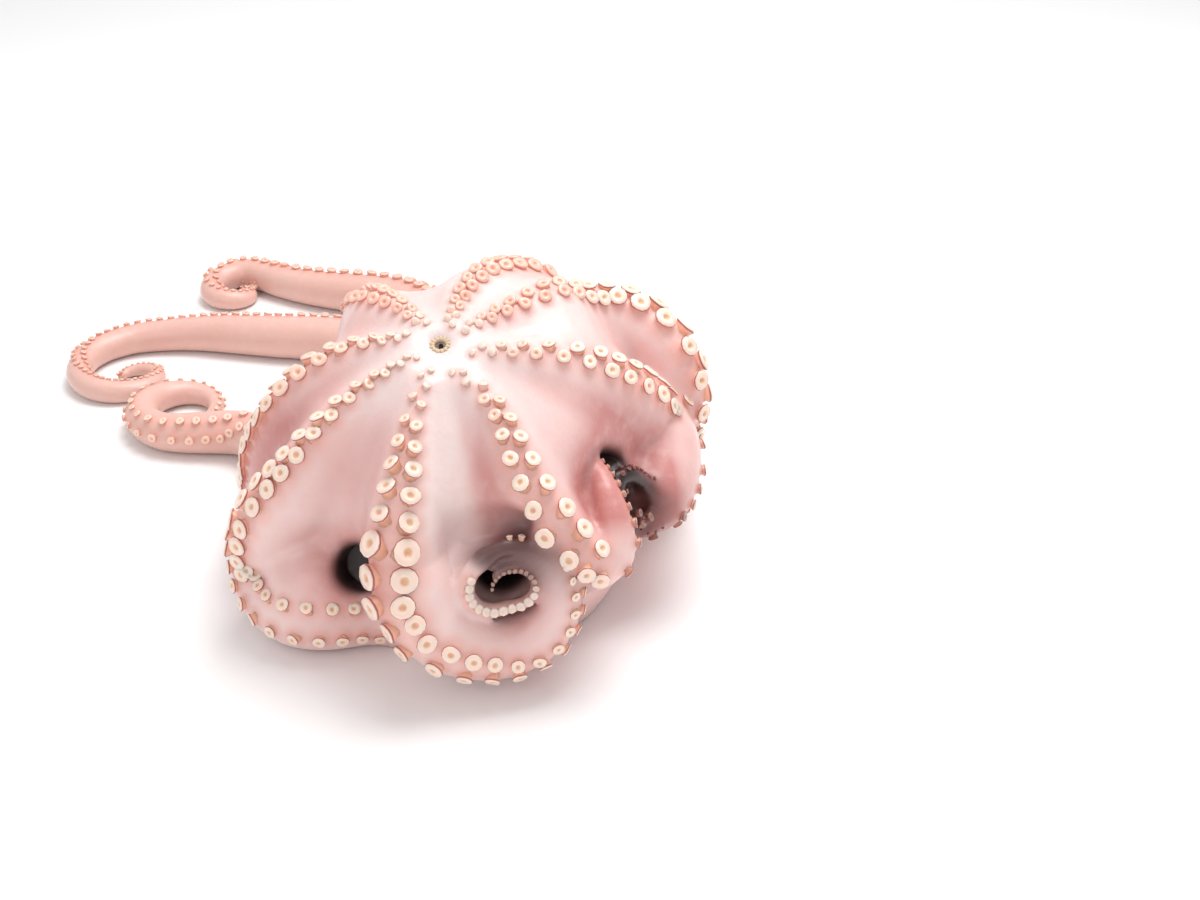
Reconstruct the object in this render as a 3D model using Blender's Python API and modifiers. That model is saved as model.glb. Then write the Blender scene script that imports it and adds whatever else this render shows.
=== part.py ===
"""A whole raw octopus, lying with its mouth up and its eight arms draped round it.

Metres, +Z up.  The origin is on the table, under the middle of the crown, and -Y is the front.
The animal is one piece of flesh, so it is one solid: arms, the web between them, head and mantle.
Arms are tapering tubes along smooth routes.  A coarse union of all the forms gives the topology,
and its points are then pulled onto a soft union of the same forms, which makes the webs.
"""
import math

import bmesh
import bpy
import numpy as np

MM = 0.001

# ---- driving sizes -------------------------------------------------------------------------
CROWN_CENTRE = np.array((0.0, 0.0, 48.5)) * MM   # centre of the ball that the arms lie on
CREST_RADIUS = 125 * MM                          # from there to the ridge of an arm
MOUTH_AXIS = np.array((-0.039, -0.386, 0.922))   # from the centre to the mouth, tipped forward
MOUTH_PLACE = (3.3, 100)                         # degrees from the axis, and azimuth
MOUTH_REACH = (131 * MM, 122.5 * MM)             # ends of its pit, from the centre
MOUTH_RADIUS = (4.2 * MM, 3.8 * MM)
ARM_RADIUS_AT_MOUTH = 6 * MM
ARM_RADIUS_ON_CROWN = 19.5 * MM
CROWN_TAPER = (7.0, 52.0)                        # degrees from the mouth over which arms thicken

# The web between the arms: its distance from the centre at some angles from the mouth.
WEB_ANGLES = (0, 3.5, 8, 20, 35, 50, 65, 90, 180)
WEB_RADII = np.array((124, 124.5, 124.5, 118, 108, 97.5, 92, 92, 95)) * MM

# How much fuller the web is half way down, by azimuth: slack in front, tight behind.
FILL_AZIMUTHS = (0, 22, 42, 65, 100, 150, 185, 230, 280, 330, 360)
FILLS = np.array((11, 20, 27, 17, 12, 9, 1, -1, -1, 8, 11)) * MM
FILL_BEGINS = (18, 42)                           # degrees from the mouth
FILL_ENDS = (72, 112)

# Egg shapes of the soft body behind the crown: centre, then half width, half length, half height.
MANTLE = np.array(((60, 164, 38), (37, 64, 38.5))) * MM
HEAD = np.array(((58, 100, 50), (33, 42, 40))) * MM
EYES = [np.array(((x, 112, 68), (12, 13, 12))) * MM for x in (32, 84)]
LOOP_FILL = np.array(((-72, -58, 36), (28, 26, 24))) * MM      # flesh inside the front left arm's bend

# How widely the forms melt together, at some angles from the mouth: widest where the web is.
SOFT_ANGLES = (0, 15, 34, 52, 64, 80, 110)
SOFTNESS = np.array((2.5, 3, 6, 6, 3.5, 4.5, 2.5)) * MM
POCKET_SOFTNESS = {"front_left": 3 * MM, "front": 3 * MM, "front_fold": 4 * MM, "right_slot": 3 * MM,
                   "right": 3 * MM, "mouth": 1.5 * MM}
TIP_SOFTNESS = 1.2 * MM
HEAD_SOFTNESS = 7 * MM                           # added round the head, so that the neck is smooth
HEAD_REACH = (40 * MM, 75 * MM)

# The front coil, which the front arm rolls up into (millimetres).
COIL_CENTRE = np.array((25.3, -95.0, 62.4))
COIL_NORMAL = (0.16, -0.98, 0.14)
COIL_THICKEST = 22.0
COIL_FORWARD = 0.85                              # how much of the thinning moves the arm forward
COIL_FRONT = np.array((27.8, -109.0, 64.4)) * MM
COIL_SOFTNESS = 0.45                             # of the softness elsewhere, so that its strands part
COIL_REACH = (27 * MM, 48 * MM)

SAMPLE_STEP = 3 * MM                             # along an arm
VOXEL = 2.6 * MM
TRIANGLES = 9000
WELD = 0.02 * MM
LONGEST_STEP = 3 * MM                            # of a point on its way to the surface
LEAST_SLOPE = 0.2                                # squared, where two forms pull against each other

# ---- the crown's own polar frame: degrees from the mouth, and round it from +X ------------------
MOUTH_AXIS = MOUTH_AXIS / np.linalg.norm(MOUTH_AXIS)
ROUND_X = np.array((1.0, 0.0, 0.0)) - MOUTH_AXIS[0] * MOUTH_AXIS
ROUND_X = ROUND_X / np.linalg.norm(ROUND_X)
ROUND_Y = np.cross(MOUTH_AXIS, ROUND_X)


def crown_direction(from_mouth, azimuth):
    tilt, turn = math.radians(from_mouth), math.radians(azimuth)
    level = math.cos(turn) * ROUND_X + math.sin(turn) * ROUND_Y
    return math.cos(tilt) * MOUTH_AXIS + math.sin(tilt) * level


def smooth_step(value, low, high):
    t = np.clip((value - low) / (high - low), 0.0, 1.0)
    return t * t * (3 - 2 * t)


# ---- stations of an arm: rows of x, y, z and radius ------------------------------------------------
def on_crown(*stations):
    """Stations on the ball: angle from the mouth and azimuth, then rise and radius where unusual."""
    rows = []
    for from_mouth, azimuth, *unusual in stations:
        swell = smooth_step(from_mouth, *CROWN_TAPER)
        radius = ARM_RADIUS_AT_MOUTH + (ARM_RADIUS_ON_CROWN - ARM_RADIUS_AT_MOUTH) * swell
        rise = unusual[0] * MM if unusual else 0.0
        if len(unusual) > 1:
            radius = unusual[1] * MM
        point = CROWN_CENTRE + (CREST_RADIUS + rise - radius) * crown_direction(from_mouth, azimuth)
        rows.append((*point, radius))
    return rows


def in_air(*stations):
    """Stations given by x, y, z and radius in millimetres."""
    return [tuple(np.array(station) * MM) for station in stations]


def on_table(*stations):
    """Stations given by x, y and radius in millimetres: the arm lies on the table."""
    return [tuple(np.array((x, y, radius, radius)) * MM) for x, y, radius in stations]


def flat_coil(centre, start, turn, distances, radii, step=30):
    """A coil on the table: it turns by some degrees while both values run from first to last."""
    rows = []
    count = round(abs(turn) / step)
    for index in range(count + 1):
        part = index / count
        angle = math.radians(start + turn * part)
        reach = distances[0] * (distances[1] / distances[0]) ** part
        radius = radii[0] + (radii[1] - radii[0]) * part
        rows.append((centre[0] + reach * math.cos(angle), centre[1] + reach * math.sin(angle), radius))
    return on_table(*rows)


def upright_coil(turns, distances, radii):
    """Stations of the front coil: turn in degrees, distance from its axis, and radius of the arm.

    It stands in a plane that leans back a little.  Its thin end is as far forward as the thick one.
    """
    normal = np.array(COIL_NORMAL) / np.linalg.norm(COIL_NORMAL)
    across = np.cross((0.0, 0.0, 1.0), normal)
    across = across / np.linalg.norm(across)
    rise = np.cross(normal, across)
    rows = []
    for turn, distance, radius in zip(turns, distances, radii):
        angle = math.radians(turn)
        point = COIL_CENTRE + distance * (math.cos(angle) * across + math.sin(angle) * rise)
        point = point + COIL_FORWARD * (COIL_THICKEST - radius) * normal
        rows.append((*point, radius))
    return in_air(*rows)


def arm_routes():
    """The eight arms, anticlockwise round the mouth from the back left."""
    return {
        "back_left": on_crown((10, 118), (22, 122), (40, 125), (60, 122), (75, 118))
        + in_air((-55, 118, 78, 18.5), (-58, 165, 42, 17.5), (-62, 212, 21, 16.5))
        + on_table((-80, 248, 15.5), (-111, 264, 15), (-147, 270, 14), (-180, 276, 13), (-208, 280, 11.5))
        + flat_coil((-240, 228), 98, 432, (48, 9), (10, 2.6)),
        "left": on_crown((10, 150), (24, 165), (38, 173), (54, 176, -3), (70, 175, -4), (85, 172, -3))
        + in_air((-112, 45, 34, 18.5), (-119, 85, 19, 16.5))
        + on_table((-130, 118, 15), (-150, 136, 14), (-172, 138, 13.2))
        + flat_coil((-190, 180), 258, -320, (40, 11), (12, 3)),
        "front_left": on_crown((10, 195), (22, 201), (36, 205), (50, 206), (66, 203, 3), (88, 201, 5))
        + in_air((-101, -48, 21, 18.5), (-87, -65, 17.5, 16.5), (-71, -69, 16.5, 15.5), (-56, -66, 15, 14))
        + on_table((-42, -60, 12), (-28, -52, 9)),
        "front": on_crown((10, 247), (20, 251), (34, 254), (50, 255), (62, 257))
        + upright_coil((180, 203, 225, 248, 270, 300, 330, 360, 390, 420, 450, 480),
                       (44, 42, 40.5, 38, 36, 33, 29, 26, 25.5, 24, 22.5, 20.5),
                       (COIL_THICKEST, 21.5, 20, 18.5, 17, 15, 12.5, 10, 8.5, 7, 6, 5)),
        "front_right": on_crown((10, 309), (19, 313), (30, 307), (44, 306), (55, 308, 0, 18.5),
                                (62, 311, 0, 16), (67, 315, -1, 13.5)),
        "right": on_crown((10, 6), (27, 11), (44, 12), (60, 14, 1, 21), (73, 15, 1, 22.5))
        + in_air((105, 7, 80, 22.5), (106, -12, 69, 20.5), (101, -28, 64, 17), (93, -41, 65, 13),
                 (85, -49, 73, 9), (81, -50, 84, 6)),
        "back_right": on_crown((10, 55), (25, 51, 1), (40, 52, 4), (52, 50, 8), (62, 45, 18, 18),
                               (70, 33, 26, 17), (78, 25, 21, 16), (92, 22, 9, 16))
        + in_air((110, 62, 38, 15), (114, 92, 18, 14))
        + on_table((117, 125, 12), (116, 160, 10.5), (110, 194, 8.5))
        + flat_coil((60, 160), 46, 84, (77, 80), (7.4, 3)),
        "back": on_crown((10, 85), (22, 84, 1), (36, 79, 4), (50, 72, 7), (62, 68, 8), (76, 72, 4))
        + in_air((18, 122, 72, 18), (0, 162, 38, 17), (-9, 212, 19, 16.5))
        + on_table((-22, 262, 16), (-46, 306, 15), (-74, 331, 14.5), (-107, 343, 13.5), (-135, 353, 12.5),
                   (-160, 366, 11.5))
        + flat_coil((-192, 358), 78, 380, (26, 7), (10.5, 3)),
    }


def tip_routes():
    """Thin ends that curl inside a pocket or back over the arm."""
    return {
        "front_tip": upright_coil(range(480, 901, 30),
                                  (20, 20.5, 20, 17, 12.5, 9.5, 10, 12.5, 14.5, 14.5, 13, 11.5, 10, 8.5, 8),
                                  np.geomspace(4.8, 2, 15)),
        "front_right_tip": on_crown((62, 311, -2, 14), (67, 315, -1, 13.5))
        + in_air((80, -83, 69, 11.5), (81, -78, 80, 9.5), (78, -70, 91, 7.5), (74, -60, 99, 5.5),
                 (70, -50, 103, 3.5)),
        "right_tip": in_air((81, -50, 84, 6), (82, -49, 90, 5), (88, -43, 90, 4.4), (96, -36, 82, 4),
                            (102, -35, 70, 3.6), (99, -41, 63, 3.2), (93, -46, 64, 2.8), (91, -46, 70, 2.4)),
    }


def pockets():
    """Round hollows where the web folds in: stations with a radius, from the mouth inwards."""
    front_left = in_air((-51, -112, 72, 13), (-50, -90, 61, 12), (-49, -54, 43, 11))
    front = in_air((30.5, -125, 67, 12.5), (26, -98, 63, 13), (20, -58, 56, 11))
    front_fold = in_air((10, -98, 88, 3.5), (18, -98, 94, 5), (28, -98, 96.5, 5.5), (38, -100, 95, 4.5),
                        (47, -101, 90, 3.2), (54, -101, 84, 2.6))
    right_slot = in_air((99, -41, 62, 10), (92, -52, 78, 12), (83, -66, 98, 12.5))
    right = in_air((87, -76, 111, 13), (81, -56, 96, 14), (72, -34, 78, 15))
    mouth = [(*(CROWN_CENTRE + reach * crown_direction(*MOUTH_PLACE)), radius)
             for reach, radius in zip(MOUTH_REACH, MOUTH_RADIUS)]
    return {"front_left": front_left, "front": front, "front_fold": front_fold,
            "right_slot": right_slot, "right": right, "mouth": mouth}


def smooth_route(stations):
    """A centripetal Catmull-Rom curve through the stations, sampled evenly."""
    rows = np.array(stations)
    rows = np.vstack((2 * rows[0] - rows[1], rows, 2 * rows[-1] - rows[-2]))
    samples = []
    for index in range(1, len(rows) - 2):
        four = rows[index - 1:index + 3]
        gaps = np.sqrt(np.linalg.norm(np.diff(four[:, :3], axis=0), axis=1))
        knots = np.concatenate(((0.0,), np.cumsum(gaps)))
        count = max(2, round(np.linalg.norm(four[2, :3] - four[1, :3]) / SAMPLE_STEP))
        for t in np.linspace(knots[1], knots[2], count, endpoint=False):
            level = list(four)
            for order in (1, 2, 3):
                level = [((knots[i + order] - t) * level[i] + (t - knots[i]) * level[i + 1])
                         / (knots[i + order] - knots[i]) for i in range(4 - order)]
            samples.append(level[0])
    samples.append(rows[-2])
    return np.array(samples)


# ---- distance fields: each gives a distance and the way that it grows -----------------------------
def tube_field(points, route):
    """Distance to a tapering tube; points far from it only get a large value."""
    reach = 40 * MM
    distance = np.full(len(points), reach)
    growth = np.zeros_like(points)
    growth[:, 2] = 1.0
    low, high = route[:, :3].min(axis=0) - reach, route[:, :3].max(axis=0) + reach
    near = np.nonzero(((points > low) & (points < high)).all(axis=1))[0]
    start, along = route[:-1, :3], np.diff(route[:, :3], axis=0)
    square = (along ** 2).sum(axis=1)
    for block in np.array_split(near, max(1, len(near) // 3000)):
        offset = points[block, None, :] - start
        part = np.clip((offset * along).sum(axis=2) / square, 0.0, 1.0)
        offset -= part[:, :, None] * along
        length = np.linalg.norm(offset, axis=2)
        radius = route[:-1, 3] + part * np.diff(route[:, 3])
        best = np.argmin(length - radius, axis=1)
        rows = np.arange(len(block))
        distance[block] = np.minimum((length - radius)[rows, best], reach)
        growth[block] = offset[rows, best] / np.maximum(length[rows, best], 1e-9)[:, None]
    return distance, growth


def crown_field(points):
    """The web: a ball whose radius changes with the angle from the mouth and the azimuth."""
    offset = points - CROWN_CENTRE
    length = np.linalg.norm(offset, axis=1)
    from_mouth = angle_from_mouth(points)
    azimuth = np.degrees(np.arctan2(offset @ ROUND_Y, offset @ ROUND_X)) % 360
    share = smooth_step(from_mouth, *FILL_BEGINS) * (1 - smooth_step(from_mouth, *FILL_ENDS))
    radius = np.interp(from_mouth, WEB_ANGLES, WEB_RADII) + share * np.interp(azimuth, FILL_AZIMUTHS, FILLS)
    return length - radius, offset / length[:, None]


def angle_from_mouth(points):
    offset = points - CROWN_CENTRE
    cosine = offset @ MOUTH_AXIS / np.linalg.norm(offset, axis=1)
    return np.degrees(np.arccos(np.clip(cosine, -1.0, 1.0)))


def ball_field(points, centre, size):
    scaled = (points - centre) / size
    length = np.linalg.norm(scaled, axis=1)
    slope = scaled / size
    steep = np.linalg.norm(slope, axis=1)
    return length * (length - 1) / steep, slope / steep[:, None]


def soft_union(fields, softness):
    """Melts forms together: the log of a sum of exponentials, and the slope that goes with it."""
    distances = np.array([field[0] for field in fields])
    nearest = distances.min(axis=0)
    weights = np.exp((nearest - distances) / softness)
    total = weights.sum(axis=0)
    growth = sum(weight[:, None] * field[1] for weight, field in zip(weights / total, fields))
    return nearest - softness * np.log(total), growth


def body_field(points, shape):
    """The soft union of all the forms, less the soft pockets, and then the tips inside them."""
    fields = [tube_field(points, route) for route in shape["arms"]]
    fields.append(crown_field(points))
    fields += [ball_field(points, *egg) for egg in (MANTLE, HEAD, LOOP_FILL, *EYES)]
    from_head = np.linalg.norm(points - HEAD[0], axis=1)
    softness = np.interp(angle_from_mouth(points), SOFT_ANGLES, SOFTNESS)
    softness = softness + HEAD_SOFTNESS * (1 - smooth_step(from_head, *HEAD_REACH))
    away_from_coil = smooth_step(np.linalg.norm(points - COIL_FRONT, axis=1), *COIL_REACH)
    softness = softness * (COIL_SOFTNESS + (1 - COIL_SOFTNESS) * away_from_coil)
    distance, growth = soft_union(fields, softness)
    for name, pocket in shape["pockets"].items():
        inside, outwards = tube_field(points, pocket)
        negative, slope = soft_union([(-distance, -growth), (inside, outwards)], POCKET_SOFTNESS[name])
        distance, growth = -negative, -slope
    tips = [tube_field(points, route) for route in shape["tips"]]
    return soft_union([(distance, growth)] + tips, TIP_SOFTNESS)


# ---- Blender objects ---------------------------------------------------------------------------
def tube_object(name, route, collection):
    curve = bpy.data.curves.new(name, "CURVE")
    curve.dimensions = "3D"
    curve.bevel_depth = 1.0
    curve.bevel_resolution = 4
    curve.use_fill_caps = True
    spline = curve.splines.new("POLY")
    spline.points.add(len(route) - 1)
    for point, (x, y, z, radius) in zip(spline.points, route):
        point.co = (x, y, z, 1.0)
        point.radius = radius
    tube = bpy.data.objects.new(name, curve)
    collection.objects.link(tube)
    return tube


def ball_object(centre, size):
    bpy.ops.mesh.primitive_uv_sphere_add(segments=64, ring_count=48, location=centre)
    ball = bpy.context.object
    ball.scale = size
    return ball


def evaluated_mesh(thing):
    bpy.context.view_layer.update()
    graph = bpy.context.evaluated_depsgraph_get()
    mesh = bpy.data.meshes.new_from_object(thing.evaluated_get(graph))
    mesh.transform(thing.matrix_world)
    return mesh


def joined_mesh(things):
    """One mesh of all the closed forms, still overlapping; the objects themselves are removed."""
    corners, faces = [], []
    for thing in things:
        mesh = evaluated_mesh(thing)
        start = len(corners)
        corners += [vertex.co[:] for vertex in mesh.vertices]
        faces += [[start + corner for corner in face.vertices] for face in mesh.polygons]
        bpy.data.objects.remove(thing)
    joined = bpy.data.meshes.new("forms")
    joined.from_pydata(corners, [], faces)
    return joined


def add_remesh(thing):
    remesh = thing.modifiers.new("Even faces", "REMESH")
    remesh.mode = "VOXEL"
    remesh.voxel_size = VOXEL


def united(mesh, collection, cutters=(), smoothing=0):
    """One even skin round all the forms, with the cutters taken away."""
    thing = bpy.data.objects.new("union", mesh)
    collection.objects.link(thing)
    add_remesh(thing)
    for cutter in cutters:
        cut = thing.modifiers.new("Pocket", "BOOLEAN")
        cut.operation = "DIFFERENCE"
        cut.object = cutter
    if cutters:
        add_remesh(thing)
    if smoothing:
        thing.modifiers.new("Even points", "SMOOTH").iterations = smoothing
    result = evaluated_mesh(thing)
    bpy.data.objects.remove(thing)
    return result


def pull_onto_body(mesh, shape, rounds):
    """Moves each point along the field's slope to the surface, and rests the flesh on the table."""
    points = np.empty(len(mesh.vertices) * 3)
    mesh.vertices.foreach_get("co", points)
    points = points.reshape(-1, 3)
    for _ in range(rounds):
        distance, growth = body_field(points, shape)
        square = np.maximum((growth ** 2).sum(axis=1), LEAST_SLOPE)
        step = np.clip(distance / square, -LONGEST_STEP, LONGEST_STEP)
        points = points - step[:, None] * growth
    points[:, 2] = np.maximum(points[:, 2], 0.0)
    mesh.vertices.foreach_set("co", points.ravel())
    mesh.update()


def pocket_cutters(stations_of_pockets):
    """Closed tubes that cut the pockets, kept as wire objects in a collection of their own."""
    collection = bpy.data.collections.new("cutters")
    bpy.context.scene.collection.children.link(collection)
    cutters = []
    for name, stations in stations_of_pockets.items():
        tube = tube_object("tube", stations, collection)
        mesh = evaluated_mesh(tube)
        bpy.data.objects.remove(tube)
        shape = bmesh.new()
        shape.from_mesh(mesh)
        bmesh.ops.remove_doubles(shape, verts=shape.verts, dist=WELD)
        bmesh.ops.recalc_face_normals(shape, faces=shape.faces)
        shape.to_mesh(mesh)
        shape.free()
        cutter = bpy.data.objects.new("pocket_" + name, mesh)
        cutter.hide_render = True
        cutter.display_type = "WIRE"
        collection.objects.link(cutter)
        cutters.append(cutter)
    return cutters


def flesh_material():
    material = bpy.data.materials.new("raw_octopus_flesh")
    material.use_nodes = True
    shader = material.node_tree.nodes["Principled BSDF"]
    shader.inputs["Base Color"].default_value = (0.80, 0.52, 0.46, 1.0)
    shader.inputs["Roughness"].default_value = 0.3
    shader.inputs["Metallic"].default_value = 0.0
    return material


def make_octopus():
    collection = bpy.data.collections.new("whole_octopus")
    bpy.context.scene.collection.children.link(collection)
    arms = {name: smooth_route(stations) for name, stations in arm_routes().items()}
    tips = {name: smooth_route(stations) for name, stations in tip_routes().items()}
    hollows = {name: smooth_route(stations) for name, stations in pockets().items()}
    shape = {"arms": list(arms.values()), "tips": list(tips.values()), "pockets": hollows}

    forms = [tube_object(name, route, collection) for name, route in arms.items()]
    forms.append(ball_object(CROWN_CENTRE, np.full(3, WEB_RADII[4])))
    forms += [ball_object(*egg) for egg in (MANTLE, HEAD, LOOP_FILL, *EYES)]
    body = bpy.data.objects.new("body", united(joined_mesh(forms), collection, pocket_cutters(hollows)))
    collection.objects.link(body)
    with_tips = [body] + [tube_object(name, route, collection) for name, route in tips.items()]
    mesh = united(joined_mesh(with_tips), collection)
    pull_onto_body(mesh, shape, rounds=5)
    mesh = united(mesh, collection, smoothing=4)
    pull_onto_body(mesh, shape, rounds=4)

    mesh.name = "octopus"
    octopus = bpy.data.objects.new("octopus", mesh)
    collection.objects.link(octopus)
    mesh.shade_smooth()
    mesh.materials.append(flesh_material())
    thin = octopus.modifiers.new("Fewer faces", "DECIMATE")
    thin.ratio = TRIANGLES / (2 * len(mesh.polygons))
    thin.use_collapse_triangulate = True
    for name, route in arms.items():
        length = np.linalg.norm(np.diff(route[:, :3], axis=0), axis=1).sum()
        print("arm %-12s %4.0f mm long" % (name, length / MM))
    print("octopus: %d faces before thinning" % len(mesh.polygons))
    return octopus


for old in list(bpy.data.objects):
    bpy.data.objects.remove(old)
make_octopus()
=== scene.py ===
# %% [markdown]
# # A whole raw octopus
#
# The octopus lies with its mouth up.  Its arms are draped down as ridges with two rows of suckers
# each, the web between them makes smooth hollows, and the ends of the arms roll up.  The packed
# part gives the size and the place of everything.  This lesson gives it its looks: a fine wet
# skin, more than seven hundred suckers, the lips and the beak in the mouth, and two eyes behind.

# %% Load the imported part
import math

import bmesh
import bpy
import numpy as np
from mathutils import Matrix, Vector, bvhtree, kdtree


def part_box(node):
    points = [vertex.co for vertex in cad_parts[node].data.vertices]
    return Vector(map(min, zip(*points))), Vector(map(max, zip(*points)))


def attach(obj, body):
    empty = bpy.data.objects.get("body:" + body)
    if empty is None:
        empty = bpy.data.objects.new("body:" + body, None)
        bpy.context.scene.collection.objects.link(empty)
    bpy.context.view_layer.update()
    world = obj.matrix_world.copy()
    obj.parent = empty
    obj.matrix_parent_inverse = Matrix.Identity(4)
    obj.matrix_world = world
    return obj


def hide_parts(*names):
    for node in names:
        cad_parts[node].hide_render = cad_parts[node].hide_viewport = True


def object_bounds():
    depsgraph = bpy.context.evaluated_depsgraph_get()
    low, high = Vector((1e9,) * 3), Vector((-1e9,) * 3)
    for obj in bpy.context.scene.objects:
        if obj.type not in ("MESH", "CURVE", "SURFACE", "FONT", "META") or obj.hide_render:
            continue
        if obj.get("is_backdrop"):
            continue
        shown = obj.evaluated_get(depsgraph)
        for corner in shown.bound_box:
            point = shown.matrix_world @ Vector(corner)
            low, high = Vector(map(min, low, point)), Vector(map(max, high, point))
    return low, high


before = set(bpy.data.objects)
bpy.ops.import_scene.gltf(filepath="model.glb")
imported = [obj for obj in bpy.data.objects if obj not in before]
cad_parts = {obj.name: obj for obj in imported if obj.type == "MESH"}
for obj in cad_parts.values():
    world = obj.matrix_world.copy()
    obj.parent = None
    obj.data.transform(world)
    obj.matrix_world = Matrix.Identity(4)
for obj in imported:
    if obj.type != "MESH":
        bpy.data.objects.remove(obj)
cad_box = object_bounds()
MM = 0.001
lowest, highest = (np.array(corner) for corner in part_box("octopus"))
print("the octopus is %.0f x %.0f x %.0f mm" % tuple((highest - lowest) / MM))

# %% [markdown]
# ## Camera
#
# A long lens about a metre away, looking 30 degrees down, shows the ridges from the front and
# keeps the round crown from looking swollen.  The camera is placed from the middle of the crown.

# %% Camera
CROWN_CENTRE = np.array((0.0, 0.0, 48.5)) * MM
CAMERA_ELEVATION = math.radians(30)
CAMERA_DISTANCE = 1.0
CAMERA_SHIFT = np.array((73.7, 27.5)) * MM       # to the right and up, beside the crown's middle
LENS = 54.54

view_right = np.array((1.0, 0.0, 0.0))
view_up = np.array((0.0, math.sin(CAMERA_ELEVATION), math.cos(CAMERA_ELEVATION)))
view_back = np.array((0.0, -math.cos(CAMERA_ELEVATION), math.sin(CAMERA_ELEVATION)))
camera_place = (CROWN_CENTRE + CAMERA_SHIFT[0] * view_right + CAMERA_SHIFT[1] * view_up
                + CAMERA_DISTANCE * view_back)
camera_turn = Matrix(np.column_stack((view_right, view_up, view_back)).tolist())
camera = bpy.data.objects.new("camera", bpy.data.cameras.new("camera"))
camera.data.lens = LENS
camera.data.clip_start = 0.05
camera.matrix_world = Matrix.Translation(camera_place) @ camera_turn.to_4x4()
bpy.context.scene.collection.objects.link(camera)
bpy.context.scene.camera = camera
print("camera at", np.round(camera_place, 3))

# %% [markdown]
# ## Where the arms run
#
# Every arm is a tapering tube along a smooth curve.  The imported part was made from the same
# stations, so the suckers that are planted along these curves sit on its arms.  On the crown a
# station is an angle from the mouth and an azimuth, which is how the arms radiate.  On the table
# and in the air it is a plain place in millimetres.

# %% Stations of the arms
CREST_RADIUS = 125 * MM                          # from the crown's middle to the ridge of an arm
MOUTH_AXIS = np.array((-0.039, -0.386, 0.922))
MOUTH_AXIS = MOUTH_AXIS / np.linalg.norm(MOUTH_AXIS)
ROUND_X = np.array((1.0, 0.0, 0.0)) - MOUTH_AXIS[0] * MOUTH_AXIS
ROUND_X = ROUND_X / np.linalg.norm(ROUND_X)
ROUND_Y = np.cross(MOUTH_AXIS, ROUND_X)
ARM_RADIUS_AT_MOUTH = 6 * MM
ARM_RADIUS_ON_CROWN = 19.5 * MM
CROWN_TAPER = (7.0, 52.0)


def crown_direction(from_mouth, azimuth):
    """The way from the crown's middle at an angle from the mouth and an azimuth, in degrees."""
    tilt, turn = math.radians(from_mouth), math.radians(azimuth)
    level = math.cos(turn) * ROUND_X + math.sin(turn) * ROUND_Y
    return math.cos(tilt) * MOUTH_AXIS + math.sin(tilt) * level


def smooth_step(value, low, high):
    """Nought up to the low value, one from the high value on, and smooth between."""
    t = np.clip((value - low) / (high - low), 0.0, 1.0)
    return t * t * (3 - 2 * t)


def on_crown(*stations):
    """Angle from the mouth and azimuth, then rise and radius where unusual."""
    rows = []
    for from_mouth, azimuth, *unusual in stations:
        swell = smooth_step(from_mouth, *CROWN_TAPER)
        radius = ARM_RADIUS_AT_MOUTH + (ARM_RADIUS_ON_CROWN - ARM_RADIUS_AT_MOUTH) * swell
        rise = unusual[0] * MM if unusual else 0.0
        if len(unusual) > 1:
            radius = unusual[1] * MM
        point = CROWN_CENTRE + (CREST_RADIUS + rise - radius) * crown_direction(from_mouth, azimuth)
        rows.append((*point, radius))
    return rows


def in_air(*stations):
    """Place and radius in millimetres."""
    return [tuple(np.array(station) * MM) for station in stations]


def on_table(*stations):
    """Place and radius in millimetres, of flesh that lies on the table."""
    return [tuple(np.array((x, y, radius, radius)) * MM) for x, y, radius in stations]


def flat_coil(centre, start, turn, distances, radii, step=30):
    """A coil on the table: it turns by some degrees while both values run from first to last."""
    rows = []
    count = round(abs(turn) / step)
    for index in range(count + 1):
        part = index / count
        angle = math.radians(start + turn * part)
        reach = distances[0] * (distances[1] / distances[0]) ** part
        radius = radii[0] + (radii[1] - radii[0]) * part
        rows.append((centre[0] + reach * math.cos(angle), centre[1] + reach * math.sin(angle), radius))
    return on_table(*rows)


COIL_CENTRE = np.array((25.3, -95.0, 62.4))      # of the coil that the front arm rolls up into
COIL_NORMAL = np.array((0.16, -0.98, 0.14))
COIL_NORMAL = COIL_NORMAL / np.linalg.norm(COIL_NORMAL)
COIL_THICKEST = 22.0
COIL_FORWARD = 0.85                              # how much of the thinning moves the arm forward


def upright_coil(turns, distances, radii):
    """Stations round the front coil: a turn in degrees, how far out, and the radius."""
    across = np.cross((0.0, 0.0, 1.0), COIL_NORMAL)
    across = across / np.linalg.norm(across)
    rise = np.cross(COIL_NORMAL, across)
    rows = []
    for turn, distance, radius in zip(turns, distances, radii):
        angle = math.radians(turn)
        point = COIL_CENTRE + distance * (math.cos(angle) * across + math.sin(angle) * rise)
        point = point + COIL_FORWARD * (COIL_THICKEST - radius) * COIL_NORMAL
        rows.append((*point, radius))
    return in_air(*rows)


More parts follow.
